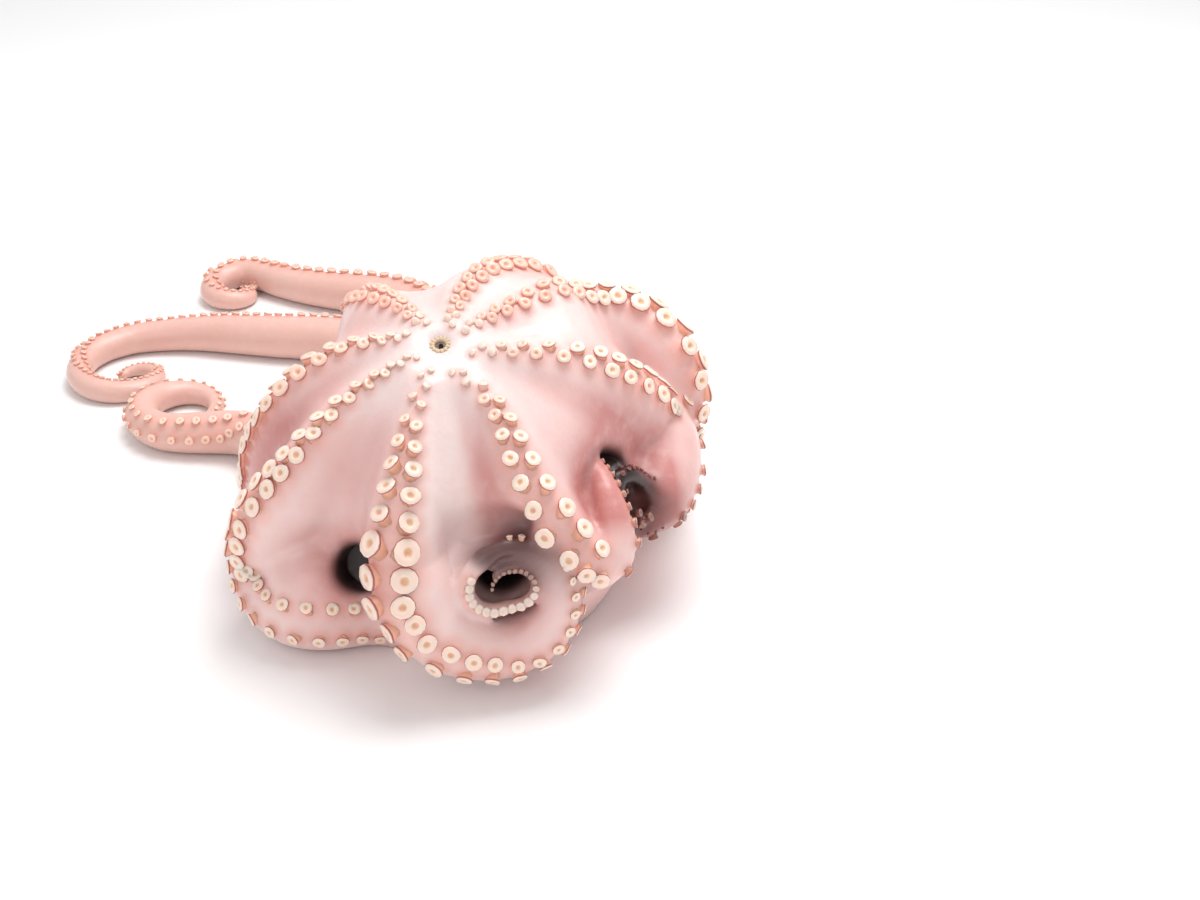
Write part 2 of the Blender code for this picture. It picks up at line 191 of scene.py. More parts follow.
MOUTH_WAY = crown_direction(3.3, 100)            # from the crown's middle to the mouth
arm_stations = {
    "back_left": on_crown((10, 118), (22, 122), (40, 125), (60, 122), (75, 118))
    + in_air((-55, 118, 78, 18.5), (-58, 165, 42, 17.5), (-62, 212, 21, 16.5))
    + on_table((-80, 248, 15.5), (-111, 264, 15), (-147, 270, 14), (-180, 276, 13), (-208, 280, 11.5))
    + flat_coil((-240, 228), 98, 432, (48, 9), (10, 2.6)),
    "left": on_crown((10, 150), (24, 165), (38, 173), (54, 176, -3), (70, 175, -4), (85, 172, -3))
    + in_air((-112, 45, 34, 18.5), (-119, 85, 19, 16.5))
    + on_table((-130, 118, 15), (-150, 136, 14), (-172, 138, 13.2))
    + flat_coil((-190, 180), 258, -320, (40, 11), (12, 3)),
    "front_left": on_crown((10, 195), (22, 201), (36, 205), (50, 206), (66, 203, 3), (88, 201, 5))
    + in_air((-101, -48, 21, 18.5), (-87, -65, 17.5, 16.5), (-71, -69, 16.5, 15.5), (-56, -66, 15, 14))
    + on_table((-42, -60, 12), (-28, -52, 9)),
    "front": on_crown((10, 247), (20, 251), (34, 254), (50, 255), (62, 257))
    + upright_coil((180, 203, 225, 248, 270, 300, 330, 360, 390, 420, 450, 480),
                   (44, 42, 40.5, 38, 36, 33, 29, 26, 25.5, 24, 22.5, 20.5),
                   (COIL_THICKEST, 21.5, 20, 18.5, 17, 15, 12.5, 10, 8.5, 7, 6, 5)),
    "front_right": on_crown((10, 309), (19, 313), (30, 307), (44, 306), (55, 308, 0, 18.5),
                            (62, 311, 0, 16), (67, 315, -1, 13.5)),
    "right": on_crown((10, 6), (27, 11), (44, 12), (60, 14, 1, 21), (73, 15, 1, 22.5))
    + in_air((105, 7, 80, 22.5), (106, -12, 69, 20.5), (101, -28, 64, 17), (93, -41, 65, 13),
             (85, -49, 73, 9), (81, -50, 84, 6)),
    "back_right": on_crown((10, 55), (25, 51, 1), (40, 52, 4), (52, 50, 8), (62, 45, 18, 18),
                           (70, 33, 26, 17), (78, 25, 21, 16), (92, 22, 9, 16))
    + in_air((110, 62, 38, 15), (114, 92, 18, 14))
    + on_table((117, 125, 12), (116, 160, 10.5), (110, 194, 8.5))
    + flat_coil((60, 160), 46, 84, (77, 80), (7.4, 3)),
    "back": on_crown((10, 85), (22, 84, 1), (36, 79, 4), (50, 72, 7), (62, 68, 8), (76, 72, 4))
    + in_air((18, 122, 72, 18), (0, 162, 38, 17), (-9, 212, 19, 16.5))
    + on_table((-22, 262, 16), (-46, 306, 15), (-74, 331, 14.5), (-107, 343, 13.5), (-135, 353, 12.5),
               (-160, 366, 11.5))
    + flat_coil((-192, 358), 78, 380, (26, 7), (10.5, 3)),
}
tip_stations = {
    "front_tip": upright_coil(range(480, 901, 30),
                              (20, 20.5, 20, 17, 12.5, 9.5, 10, 12.5, 14.5, 14.5, 13, 11.5, 10, 8.5, 8),
                              np.geomspace(4.8, 2, 15)),
    "front_right_tip": on_crown((62, 311, -2, 14), (67, 315, -1, 13.5))
    + in_air((80, -83, 69, 11.5), (81, -78, 80, 9.5), (78, -70, 91, 7.5), (74, -60, 99, 5.5),
             (70, -50, 103, 3.5)),
    "right_tip": in_air((81, -50, 84, 6), (82, -49, 90, 5), (88, -43, 90, 4.4), (96, -36, 82, 4),
                        (102, -35, 70, 3.6), (99, -41, 63, 3.2), (93, -46, 64, 2.8), (91, -46, 70, 2.4)),
}
pocket_stations = {
    "front_left": in_air((-51, -112, 72, 13), (-50, -90, 61, 12), (-49, -54, 43, 11)),
    "front": in_air((30.5, -125, 67, 12.5), (26, -98, 63, 13), (20, -58, 56, 11)),
    "front_fold": in_air((10, -98, 88, 3.5), (18, -98, 94, 5), (28, -98, 96.5, 5.5), (38, -100, 95, 4.5),
                         (47, -101, 90, 3.2), (54, -101, 84, 2.6)),
    "right_slot": in_air((99, -41, 62, 10), (92, -52, 78, 12), (83, -66, 98, 12.5)),
    "right": in_air((87, -76, 111, 13), (81, -56, 96, 14), (72, -34, 78, 15)),
    "mouth": [(*(CROWN_CENTRE + reach * MOUTH_WAY), radius)
              for reach, radius in ((131 * MM, 4.2 * MM), (122.5 * MM, 3.8 * MM))],
}

# %% Smooth curves through the stations
SAMPLE_STEP = 3 * MM


def smooth_route(stations):
    """A centripetal Catmull-Rom curve through the stations: rows of x, y, z and radius."""
    rows = np.array(stations)
    rows = np.vstack((2 * rows[0] - rows[1], rows, 2 * rows[-1] - rows[-2]))
    samples = []
    for index in range(1, len(rows) - 2):
        four = rows[index - 1:index + 3]
        gaps = np.sqrt(np.linalg.norm(np.diff(four[:, :3], axis=0), axis=1))
        knots = np.concatenate(((0.0,), np.cumsum(gaps)))
        count = max(2, round(np.linalg.norm(four[2, :3] - four[1, :3]) / SAMPLE_STEP))
        for t in np.linspace(knots[1], knots[2], count, endpoint=False):
            level = list(four)
            for order in (1, 2, 3):
                level = [((knots[i + order] - t) * level[i] + (t - knots[i]) * level[i + 1])
                         / (knots[i + order] - knots[i]) for i in range(4 - order)]
            samples.append(level[0])
    samples.append(rows[-2])
    return np.array(samples)


def arc_lengths(route):
    """How far along the route each of its samples is."""
    steps = np.linalg.norm(np.diff(route[:, :3], axis=0), axis=1)
    return np.concatenate(((0.0,), np.cumsum(steps)))


arms = {name: smooth_route(stations) for name, stations in arm_stations.items()}
tips = {name: smooth_route(stations) for name, stations in tip_stations.items()}
pockets = {name: smooth_route(stations) for name, stations in pocket_stations.items()}
for name, route in arms.items():
    print("arm %-12s %4.0f mm long" % (name, arc_lengths(route)[-1] / MM))

# %% [markdown]
# ## The form of the flesh
#
# A distance field says how far a point is from the surface, and which way the surface lies.  Each
# arm is a field, so are the web, the head and the mantle, and a soft union melts them together
# the way flesh does.  A mesh can be pulled onto such a field as finely as wanted, which is why a
# field was chosen here and not subdivision, which would swell and shrink the ridges.

# %% Sizes of the forms
# The web's radius goes by the angle from the mouth, and more is filled in by the azimuth.
WEB_ANGLES = (0, 3.5, 8, 20, 35, 50, 65, 90, 180)
WEB_RADII = np.array((124, 124.5, 124.5, 118, 108, 97.5, 92, 92, 95)) * MM
FILL_AZIMUTHS = (0, 22, 42, 65, 100, 150, 185, 230, 280, 330, 360)
FILLS = np.array((11, 20, 27, 17, 12, 9, 1, -1, -1, 8, 11)) * MM
FILL_BEGINS = (18, 42)
FILL_ENDS = (72, 112)
# Eggs: the middle, and half the size along each axis.
MANTLE = np.array(((60, 164, 38), (37, 64, 38.5))) * MM
HEAD = np.array(((58, 100, 50), (33, 42, 40))) * MM
EYES = [np.array(((x, 112, 68), (12, 13, 12))) * MM for x in (32, 84)]
LOOP_FILL = np.array(((-72, -58, 36), (28, 26, 24))) * MM
# How softly the forms melt together, by the angle from the mouth.
SOFT_ANGLES = (0, 15, 34, 52, 64, 80, 110)
SOFTNESS = np.array((2.5, 3, 6, 6, 3.5, 4.5, 2.5)) * MM
POCKET_SOFTNESS = {"front_left": 3 * MM, "front": 3 * MM, "front_fold": 4 * MM, "right_slot": 3 * MM,
                   "right": 3 * MM, "mouth": 1.5 * MM}
TIP_SOFTNESS = 1.2 * MM
HEAD_SOFTNESS = 7 * MM
HEAD_REACH = (40 * MM, 75 * MM)
COIL_FRONT = np.array((27.8, -109.0, 64.4)) * MM
COIL_SOFTNESS = 0.45                             # of the softness elsewhere, so that its strands part
COIL_REACH = (27 * MM, 48 * MM)
print("the web lies %.0f to %.0f mm from the crown's middle" % (WEB_RADII.min() / MM, WEB_RADII.max() / MM))

# %% The field of an arm
TUBE_REACH = 40 * MM
BLOCK = 3000                                     # points that are measured at once
LEAST_LENGTH = 1e-9                              # so that nothing is divided by nought


def tube_field(points, route):
    """Distance to a tapering tube; points far from it only get a large value."""
    distance = np.full(len(points), TUBE_REACH)
    growth = np.zeros_like(points)
    growth[:, 2] = 1.0
    low, high = route[:, :3].min(axis=0) - TUBE_REACH, route[:, :3].max(axis=0) + TUBE_REACH
    near = np.nonzero(((points > low) & (points < high)).all(axis=1))[0]
    start, along = route[:-1, :3], np.diff(route[:, :3], axis=0)
    square = (along ** 2).sum(axis=1)
    for block in np.array_split(near, max(1, len(near) // BLOCK)):
        offset = points[block, None, :] - start
        part = np.clip((offset * along).sum(axis=2) / square, 0.0, 1.0)
        offset -= part[:, :, None] * along
        length = np.linalg.norm(offset, axis=2)
        radius = route[:-1, 3] + part * np.diff(route[:, 3])
        best = np.argmin(length - radius, axis=1)
        rows = np.arange(len(block))
        distance[block] = np.minimum((length - radius)[rows, best], TUBE_REACH)
        growth[block] = offset[rows, best] / np.maximum(length[rows, best], LEAST_LENGTH)[:, None]
    return distance, growth


middle_of_arm = arms["front"][20:21, :3]
middle_depth, _ = tube_field(middle_of_arm, arms["front"])
print("in the middle of the front arm its field is %.1f mm" % (middle_depth[0] / MM))


# %% The field of the web
def angle_from_mouth(points):
    """In degrees, seen from the crown's middle."""
    offset = points - CROWN_CENTRE
    cosine = offset @ MOUTH_AXIS / np.linalg.norm(offset, axis=1)
    return np.degrees(np.arccos(np.clip(cosine, -1.0, 1.0)))


def azimuth_of(points):
    """In degrees round the mouth, from the right and towards the back."""
    offset = points - CROWN_CENTRE
    return np.degrees(np.arctan2(offset @ ROUND_Y, offset @ ROUND_X)) % 360


def crown_field(points):
    """The web: a ball whose radius changes with the angle from the mouth and the azimuth."""
    offset = points - CROWN_CENTRE
    length = np.linalg.norm(offset, axis=1)
    from_mouth = angle_from_mouth(points)
    share = smooth_step(from_mouth, *FILL_BEGINS) * (1 - smooth_step(from_mouth, *FILL_ENDS))
    radius = np.interp(from_mouth, WEB_ANGLES, WEB_RADII)
    radius = radius + share * np.interp(azimuth_of(points), FILL_AZIMUTHS, FILLS)
    return length - radius, offset / length[:, None]


middle_depth, _ = crown_field(CROWN_CENTRE[None] + MM)
print("near the web's middle its field is %.0f mm" % (middle_depth[0] / MM))


# %% Eggs, and the soft union
def ball_field(points, centre, size):
    """Nearly the distance to an egg, and the way out of it."""
    scaled = (points - centre) / size
    length = np.linalg.norm(scaled, axis=1)
    slope = scaled / size
    steep = np.linalg.norm(slope, axis=1)
    return length * (length - 1) / steep, slope / steep[:, None]


def soft_union(fields, softness):
    """Fields melted together; nearer ones weigh more, by the softness."""
    distances = np.array([field[0] for field in fields])
    nearest = distances.min(axis=0)
    weights = np.exp((nearest - distances) / softness)
    total = weights.sum(axis=0)
    growth = sum(weight[:, None] * field[1] for weight, field in zip(weights / total, fields))
    return nearest - softness * np.log(total), growth


middle_depth, _ = ball_field(HEAD[:1] + MM, *HEAD)
print("near the head's middle its field is %.0f mm" % (middle_depth[0] / MM))


# %% The field of the whole body
def body_field(points):
    """All the forms, less the soft pockets, and then the thin tips inside them."""
    fields = [tube_field(points, route) for route in arms.values()]
    fields.append(crown_field(points))
    fields += [ball_field(points, *egg) for egg in (MANTLE, HEAD, LOOP_FILL, *EYES)]
    from_head = np.linalg.norm(points - HEAD[0], axis=1)
    softness = np.interp(angle_from_mouth(points), SOFT_ANGLES, SOFTNESS)
    softness = softness + HEAD_SOFTNESS * (1 - smooth_step(from_head, *HEAD_REACH))
    away_from_coil = smooth_step(np.linalg.norm(points - COIL_FRONT, axis=1), *COIL_REACH)
    softness = softness * (COIL_SOFTNESS + (1 - COIL_SOFTNESS) * away_from_coil)
    distance, growth = soft_union(fields, softness)
    for name, pocket in pockets.items():
        inside, outwards = tube_field(points, pocket)
        negative, slope = soft_union([(-distance, -growth), (inside, outwards)], POCKET_SOFTNESS[name])
        distance, growth = -negative, -slope
    curls = [tube_field(points, route) for route in tips.values()]
    return soft_union([(distance, growth)] + curls, TIP_SOFTNESS)


middle_depth, _ = body_field(CROWN_CENTRE[None] + MM)
print("near the crown's middle the body's field is %.0f mm" % (middle_depth[0] / MM))

# %% [markdown]
# ## Planting the suckers
#
# Each arm carries two rows of suckers, which widen from the mouth to the middle of the arm and
# dwindle to its tip.  A few marks along an arm say how wide they are there, how far apart, and
# how the two rows sit; everything between is worked out.  Which way the oral side faces is named
# in the same way, because an arm twists as it leaves the crown.  A row is walked along its arm,
# and each foot is then pushed out through the flesh until it stands on the skin.

# %% Ways that the oral side can face
def unit(vector):
    """The same way, with a length of one."""
    return np.asarray(vector, dtype=float) / np.linalg.norm(vector)


def from_crown(point):
    """Straight out of the crown."""
    return unit(point - CROWN_CENTRE)


def from_coil(lean):
    """Away from the middle of the front coil, leaning to the front by some degrees."""
    def way(point):
        offset = point - COIL_CENTRE * MM
        offset = unit(offset - (offset @ COIL_NORMAL) * COIL_NORMAL)
        return math.cos(math.radians(lean)) * offset + math.sin(math.radians(lean)) * COIL_NORMAL
    return way


def from_place(x, y, z, rise=0.0):
    """Away from a place in millimetres, with some of it upwards."""
    return lambda point: unit(unit(point - np.array((x, y, z)) * MM) + np.array((0.0, 0.0, rise)))


def towards(x, y, z):
    """The same way everywhere."""
    return lambda point: unit((x, y, z))


print("at the mouth the suckers face", np.round(from_crown(CROWN_CENTRE + MOUTH_WAY), 2))

# %% Marks along the arms
# facing: (length in mm, way).  marks: (length, width, step, middle of the two rows in degrees
# off the facing, half the angle between them).  starts: the first sucker of either row.
# pace: how much longer either row's steps are, where an arm bends sideways.  nods: how far the
# suckers nod towards the mouth, in degrees.  ends: where either row stops.  span: how far to
# both sides the arm's direction is measured.
NO_ROW = 999                                     # a start past every arm's end
UPRIGHT = ((0, 0),)                              # no nod

rows_of = {
    "front": {
        "facing": ((0, from_crown), (100, from_crown), (112, from_coil(60)), (121, from_coil(52)),
                   (131, from_coil(56)), (142, from_coil(72)), (168, from_coil(72)), (188, from_coil(44)),
                   (206, from_coil(36)), (239, from_coil(36)), (272, from_coil(30))),
        "marks": ((-12, 3.8, 8, 0, 16), (12, 6, 9, 0, 16), (30, 9, 9, -2, 19), (49, 11, 11.5, -2, 20),
                  (62, 12, 12.3, -1, 20), (74, 15, 13, 1, 21), (88, 15.2, 14.5, 4, 23),
                  (100, 13.8, 16, 3, 22), (112, 12.6, 14, 0, 20), (121, 11.8, 12, 0, 19),
                  (131, 11, 12, 0, 21), (142, 10.5, 12.4, 0, 17), (164, 9, 10, 0, 15),
                  (191, 7.2, 8.4, 0, 14), (221, 5.4, 7.2, 0, 16), (240, 4.8, 5.4, 0, 18),
                  (272, 3.6, 4, 0, 20)),
        "pace": ((-10, 1.4, 1.15), (4, 1.4, 1.2), (16, 1.12, 1.1), (40, 1.05, 1.05), (57, 1.1, 1.02),
                 (71, 1.2, 1), (87, 0.62, 1), (98, 1.3, 1), (110, 1.1, 1), (125, 0.9, 1), (150, 1, 1)),
        "starts": (-6, -10), "ends": (262, 236), "span": 13},
    "front_right": {
        "facing": ((0, from_crown), (116, from_crown)),
        "marks": ((-12, 3.8, 8, 0, 14), (19, 7.6, 9, 0, 16), (33, 8.6, 10, 2, 17), (57, 10, 12.5, 1, 17),
                  (72, 11.3, 13.5, -1, 19), (90, 11.6, 14, -5, 19), (116, 10, 12, -4, 22)),
        "pace": ((-9, 1.12, 1.5), (0, 1.5, 1.4), (12, 1.05, 1), (30, 1.05, 0.95), (41, 1, 1.12),
                 (58, 1.1, 1.19), (72, 1.15, 1.22), (84, 1.05, 1.18), (95, 0.65, 1.12), (116, 0.7, 0.8)),
        "starts": (-9, -5)},
    "right": {
        "facing": ((0, from_crown), (112, from_crown), (140, towards(0.9, 0.2, -0.4)),
                   (200, towards(0.9, 0.2, -0.4)), (218, towards(0.9, 0.2, -0.2))),
        "marks": ((-12, 3.8, 9, 4, 12), (20, 7, 12.5, 6, 13), (40, 8.2, 12, 9, 12), (75, 9.6, 12.3, 7, 12),
                  (100, 10.6, 12, 4, 13), (118, 9.6, 11, 2, 15), (140, 7.6, 9.5, 0, 16), (190, 5.6, 7, 0, 18),
                  (218, 3.6, 4, 0, 20)),
        "starts": (-8, -3)},
    "back_right": {
        "facing": ((0, from_crown), (150, from_crown), (200, towards(0.95, -0.1, 0.3)),
                   (514, towards(0.9, 0.3, 0.3))),
        "marks": ((-12, 3.8, 8, 6, 10), (20, 7.2, 10, 10, 10), (45, 8, 11, 18, 11), (62, 8.6, 15, 22, 11),
                  (82, 9.4, 15, 27, 11), (105, 10.6, 13, 32, 11), (130, 13.4, 13.5, 34, 11),
                  (155, 12.6, 13.5, 34, 12), (190, 11, 13, 10, 16), (320, 8, 11, 0, 20), (450, 4, 6, 0, 22),
                  (514, 2.4, 3.2, 0, 24)),
        "starts": (-5, 0)},
    "back": {
        "facing": ((0, from_crown), (150, from_crown), (250, towards(-0.2, 0.7, 0.6)),
                   (668, towards(0, 0.5, 0.85))),
        "marks": ((-12, 3.8, 8, 12, 9), (28, 7.4, 10, 15, 9.5), (60, 9, 11.5, 15, 10),
                  (120, 11, 12.5, 12, 14), (250, 10, 12, 0, 20), (440, 8, 10.5, 0, 20),
                  (540, 7, 10, 0, 20), (600, 5, 7.5, 0, 22), (668, 2.6, 3.2, 0, 24)),
        "starts": (-5, -1)},
    "back_left": {
        "facing": ((0, from_crown), (120, from_crown), (200, towards(-0.75, 0.2, 0.6)),
                   (320, towards(-0.1, 0.75, 0.65)), (685, towards(0, 0.75, 0.65))),
        "marks": ((-12, 3.8, 8, 0, 12), (30, 7.6, 10, 0, 14), (60, 9, 11.5, 0, 16), (120, 11, 12.5, 0, 18),
                  (300, 7, 9, 0, 20), (420, 6.2, 7.8, 0, 20), (500, 5.6, 7, 0, 20), (580, 4.2, 5.6, 0, 22),
                  (685, 2.2, 3, 0, 24)),
        "starts": (-2, 3)},
    "left": {
        "facing": ((0, from_crown), (150, from_crown), (210, towards(-0.85, -0.2, 0.5)),
                   (290, from_place(-190, 180, 0, 0.35)), (472, from_place(-190, 180, 0, 0.35))),
        "marks": ((-12, 3.8, 8, 4, 9), (27, 8, 11, 6, 10), (50, 10, 11.8, 6, 10.5), (90, 11, 12.3, 6, 10.5),
                  (150, 10.5, 12.5, 4, 14), (210, 8, 11, 0, 20), (260, 6.4, 10, 0, 22), (330, 6, 10, 0, 24),
                  (400, 4.8, 8.4, 0, 24), (472, 2.4, 3.4, 0, 24)),
        "starts": (-2, 2)},
    "front_left": {
        "facing": ((0, from_crown), (140, from_crown), (172, towards(-0.35, -0.75, 0.35)),
                   (257, towards(0.1, -0.9, 0.38))),
        "marks": ((-12, 3.8, 8, -3, 8), (20, 7, 10.5, -3, 9), (41, 8.6, 11.5, -4, 9), (65, 10, 12, -1, 9),
                  (90, 12, 13.5, 2, 11), (120, 12, 13, -2, 14), (150, 10, 11, -6, 20), (175, 8, 8.5, 0, 24),
                  (220, 7.6, 8.5, 0, 26), (257, 6, 8, 0, 26)),
        "starts": (-6, -10)},
    "front_tip": {
        "facing": ((0, from_coil(62)), (110, from_coil(62))),
        "marks": ((0, 4.6, 4, 0, 34), (16, 5.6, 4.6, 0, 34), (60, 5.4, 4.6, 0, 34), (72, 3, 3.2, 0, 30),
                  (110, 1.8, 2.2, 0, 24)),
        "starts": (NO_ROW, 12), "nods": UPRIGHT},
    "front_right_tip": {
        "facing": ((0, from_crown), (14, from_crown), (30, towards(0.9, -0.4, 0.1)),
                   (75, towards(0.9, -0.3, 0.2))),
        "marks": ((0, 9, 40, 0, 18), (22, 7, 8, -6, 20), (40, 5.4, 7, -6, 20), (75, 2.8, 4, -6, 22)),
        "starts": (22, NO_ROW), "nods": UPRIGHT},
    "right_tip": {
        "facing": ((0, from_place(86, -30, 78)), (20, from_place(93, -44, 74)),
                   (66, from_place(93, -44, 74))),
        "marks": ((0, 3.4, 3.8, 0, 20), (30, 2.6, 3, 0, 22), (66, 1.4, 1.8, 0, 24)),
        "starts": (2, 4), "nods": UPRIGHT},
}
print("marks for", len(rows_of), "arms and tips")

# %% Walk the rows
SPLAY = math.radians(14)                         # of a sucker's face, sideways beyond its foot
EVEN_PACE = ((0, 1, 1),)
NODS = ((0, 36), (55, 33), (88, 4))
ENDS = (math.inf, math.inf)
SPAN = 7
# What a row says of each sucker, by column.
PLACE, RADIUS = slice(0, 3), 3
FOOT_WAY, FACE_WAY, NOD_WAY = slice(4, 7), slice(7, 10), slice(10, 13)
WIDTH, LENGTH = 13, 14


def place_at(route, lengths, value):
    """Place and radius at a length along the route, and straight on before its start."""
    row = np.array([np.interp(value, lengths, route[:, column]) for column in range(4)])
    before = min(value, 0.0) / lengths[1]
    row[:3] += before * (route[1, :3] - route[0, :3])
    return row


def facing_at(point, value, facing):
    """The oral side's way at a length along the arm, between the two marks round it."""
    marks = [length for length, _ in facing]
    upper = int(np.clip(np.searchsorted(marks, value), 1, len(marks) - 1))
    share = np.clip((value - marks[upper - 1]) / (marks[upper] - marks[upper - 1]), 0, 1)
    return unit((1 - share) * facing[upper - 1][1](point) + share * facing[upper][1](point))


def walked_row(route, plan, side):
    """One row's suckers, as columns; side is 1 or -1."""
    lengths = arc_lengths(route) / MM
    marks = np.array(plan["marks"], dtype=float)
    pace = np.array(plan.get("pace", EVEN_PACE))
    nods = np.array(plan.get("nods", NODS))
    span = plan.get("span", SPAN)
    which = 0 if side > 0 else 1
    value = plan["starts"][which]
    end = min(lengths[-1] - 1, plan.get("ends", ENDS)[which])
    rows = []
    while value < end:
        width, step, middle, half = (np.interp(value, marks[:, 0], marks[:, k]) for k in (1, 2, 3, 4))
        here = place_at(route, lengths, value)
        tangent = unit(place_at(route, lengths, value + span)[:3]
                       - place_at(route, lengths, value - span)[:3])
        out = facing_at(here[:3], value, plan["facing"])
        out = unit(out - (out @ tangent) * tangent)
        sideways = np.cross(tangent, out)
        turn = math.radians(middle + side * half)
        foot_way = math.cos(turn) * out + math.sin(turn) * sideways
        face_way = math.cos(turn + side * SPLAY) * out + math.sin(turn + side * SPLAY) * sideways
        nod = math.tan(math.radians(np.interp(value, nods[:, 0], nods[:, 1])))
        rows.append((*here, *foot_way, *face_way, *(-nod * tangent), width * MM, value))
        value += step * np.interp(value, pace[:, 0], pace[:, 1 + which])
    return rows


planted, arm_numbers = [], []
for number, (name, plan) in enumerate(rows_of.items()):
    route = arms[name] if name in arms else tips[name]
    for side in (1, -1):
        row = walked_row(route, plan, side)
        planted += row
        arm_numbers += [number] * len(row)
planted = np.array(planted)
arm_numbers = np.array(arm_numbers)
print(len(planted), "suckers walked")

# %% Stand them on the skin
AIM_BY_ROW = 0.65                                # the rest follows the skin under the sucker
RISE = 0.43                                      # of a sucker's width
FIRST_REACH = 0.5                                # of the arm's radius, where the search starts
DAMPING = 0.9
LONGEST_STRIDE = 4 * MM
LONGEST_REACH = 1.6                              # of the arm's radius, past which it is another form
CLEARANCE = 1.3                                  # of a sucker's rise, that has to be free above it
OFF_TABLE = 1.5 * MM


def stand_on_skin(centres, ways, radii, rounds=14):
    """How far from the arm's middle the skin is."""
    reach = FIRST_REACH * radii
    for _ in range(rounds):
        distance, _ = body_field(centres + reach[:, None] * ways)
        reach = reach + np.clip(-DAMPING * distance, -LONGEST_STRIDE, LONGEST_STRIDE)
    return reach


reach = stand_on_skin(planted[:, PLACE], planted[:, FOOT_WAY], planted[:, RADIUS])
feet = planted[:, PLACE] + reach[:, None] * planted[:, FOOT_WAY]
_, skin_slope = body_field(feet)
aims = AIM_BY_ROW * planted[:, FACE_WAY] + (1 - AIM_BY_ROW) * skin_slope
aims = aims / np.linalg.norm(aims, axis=1)[:, None] + planted[:, NOD_WAY]
aims = aims / np.linalg.norm(aims, axis=1)[:, None]
widths = planted[:, WIDTH]
room, _ = body_field(feet + (CLEARANCE * RISE * widths)[:, None] * aims)
kept = (reach < LONGEST_REACH * planted[:, RADIUS]) & (room > 0) & (feet[:, 2] > OFF_TABLE)
feet, aims, widths = feet[kept], aims[kept], widths[kept]
along, arm_numbers = planted[kept, LENGTH], arm_numbers[kept]
print("%d suckers stand free, %.1f to %.1f mm wide" % (len(feet), widths.min() / MM, widths.max() / MM))

# %% [markdown]
# ## The skin
#
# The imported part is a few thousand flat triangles.  The skin is made from a copy of it: a voxel
# remesh gives small even faces, and every point is then pulled onto the field.  Sculpting would
# do as well by hand.  Here a rule keeps the ridges and the webs true to the arms' own curves.

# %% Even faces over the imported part
SKIN_VOXEL = 2.2 * MM
WELD = 0.02 * MM
EVEN_ROUNDS = 2


def add_piece(name, mesh):
    """An object for the mesh, at the origin."""
    piece = bpy.data.objects.new(name, mesh)
    bpy.context.scene.collection.objects.link(piece)
    return piece


def baked_mesh(piece):
    """The mesh that the piece's modifiers make."""
    bpy.context.view_layer.update()
    graph = bpy.context.evaluated_depsgraph_get()
    return bpy.data.meshes.new_from_object(piece.evaluated_get(graph))


def points_of(mesh):
    """The mesh's points, as rows of x, y and z."""
    points = np.empty(len(mesh.vertices) * 3)
    mesh.vertices.foreach_get("co", points)
    return points.reshape(-1, 3)


welded = bmesh.new()
welded.from_mesh(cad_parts["octopus"].data)
bmesh.ops.remove_doubles(welded, verts=welded.verts, dist=WELD)
rough_mesh = bpy.data.meshes.new("rough")
welded.to_mesh(rough_mesh)
welded.free()
rough = add_piece("rough", rough_mesh)
remesh = rough.modifiers.new("Even faces", "REMESH")
remesh.mode = "VOXEL"
remesh.voxel_size = SKIN_VOXEL
rough.modifiers.new("Even points", "SMOOTH").iterations = EVEN_ROUNDS
skin_mesh = baked_mesh(rough)
bpy.data.objects.remove(rough)
print("the skin has", len(skin_mesh.polygons), "faces")

# %% Pull the skin onto the field
LONGEST_STEP = 2.5 * MM
LEAST_SLOPE = 0.2                                # squared, where two forms pull against each other
PULLS = 3

points = points_of(skin_mesh)
for _ in range(PULLS):
    distance, growth = body_field(points)
    square = np.maximum((growth ** 2).sum(axis=1), LEAST_SLOPE)
    step = np.clip(distance / square, -LONGEST_STEP, LONGEST_STEP)
    points = points - step[:, None] * growth
print("before the last pull %.0f %% of the skin lay within 0.1 mm of the field"
      % (100 * (np.abs(distance) < 0.1 * MM).mean()))

# %% [markdown]
# ## Tight folds
#
# Where two arms or two strands press together, the flesh makes a deep crease.  The field gives no
# clear way there, and points pulled by it would stand up like hairs.  A sculptor would brush the
# crease smooth.  Here every unclear point moves towards the mean of its neighbours instead.

# %% Smooth the tight folds
CLEAR_SLOPE = (0.55, 0.85)                       # the field's slope, from unclear to clear
CLEAR_DISTANCE = (0.3 * MM, 0.8 * MM)            # what is left to the field, from clear to unclear
SPREAD_ROUNDS, SPREAD = 4, 0.9
SMOOTH_ROUNDS, SMOOTH_SHARE = 14, 0.6

edges = np.empty(len(skin_mesh.edges) * 2, dtype=np.int32)
skin_mesh.edges.foreach_get("vertices", edges)
starts, ends = np.concatenate((edges.reshape(-1, 2), edges.reshape(-1, 2)[:, ::-1])).T
neighbours = np.bincount(starts, minlength=len(points))


def neighbours_mean(values):
    """The mean over the points that share an edge with each point."""
    return np.bincount(starts, weights=values[ends], minlength=len(values)) / neighbours


distance, growth = body_field(points)
slope = np.linalg.norm(growth, axis=1)
unclear = np.maximum(1 - smooth_step(slope, *CLEAR_SLOPE), smooth_step(np.abs(distance), *CLEAR_DISTANCE))
for _ in range(SPREAD_ROUNDS):
    unclear = np.maximum(unclear, SPREAD * neighbours_mean(unclear))
for _ in range(SMOOTH_ROUNDS):
    mean = np.column_stack([neighbours_mean(points[:, axis]) for axis in range(3)])
    points = points + (SMOOTH_SHARE * unclear)[:, None] * (mean - points)
print("%.1f %% of the points follow their neighbours" % (100 * (unclear > 0.5).mean()))

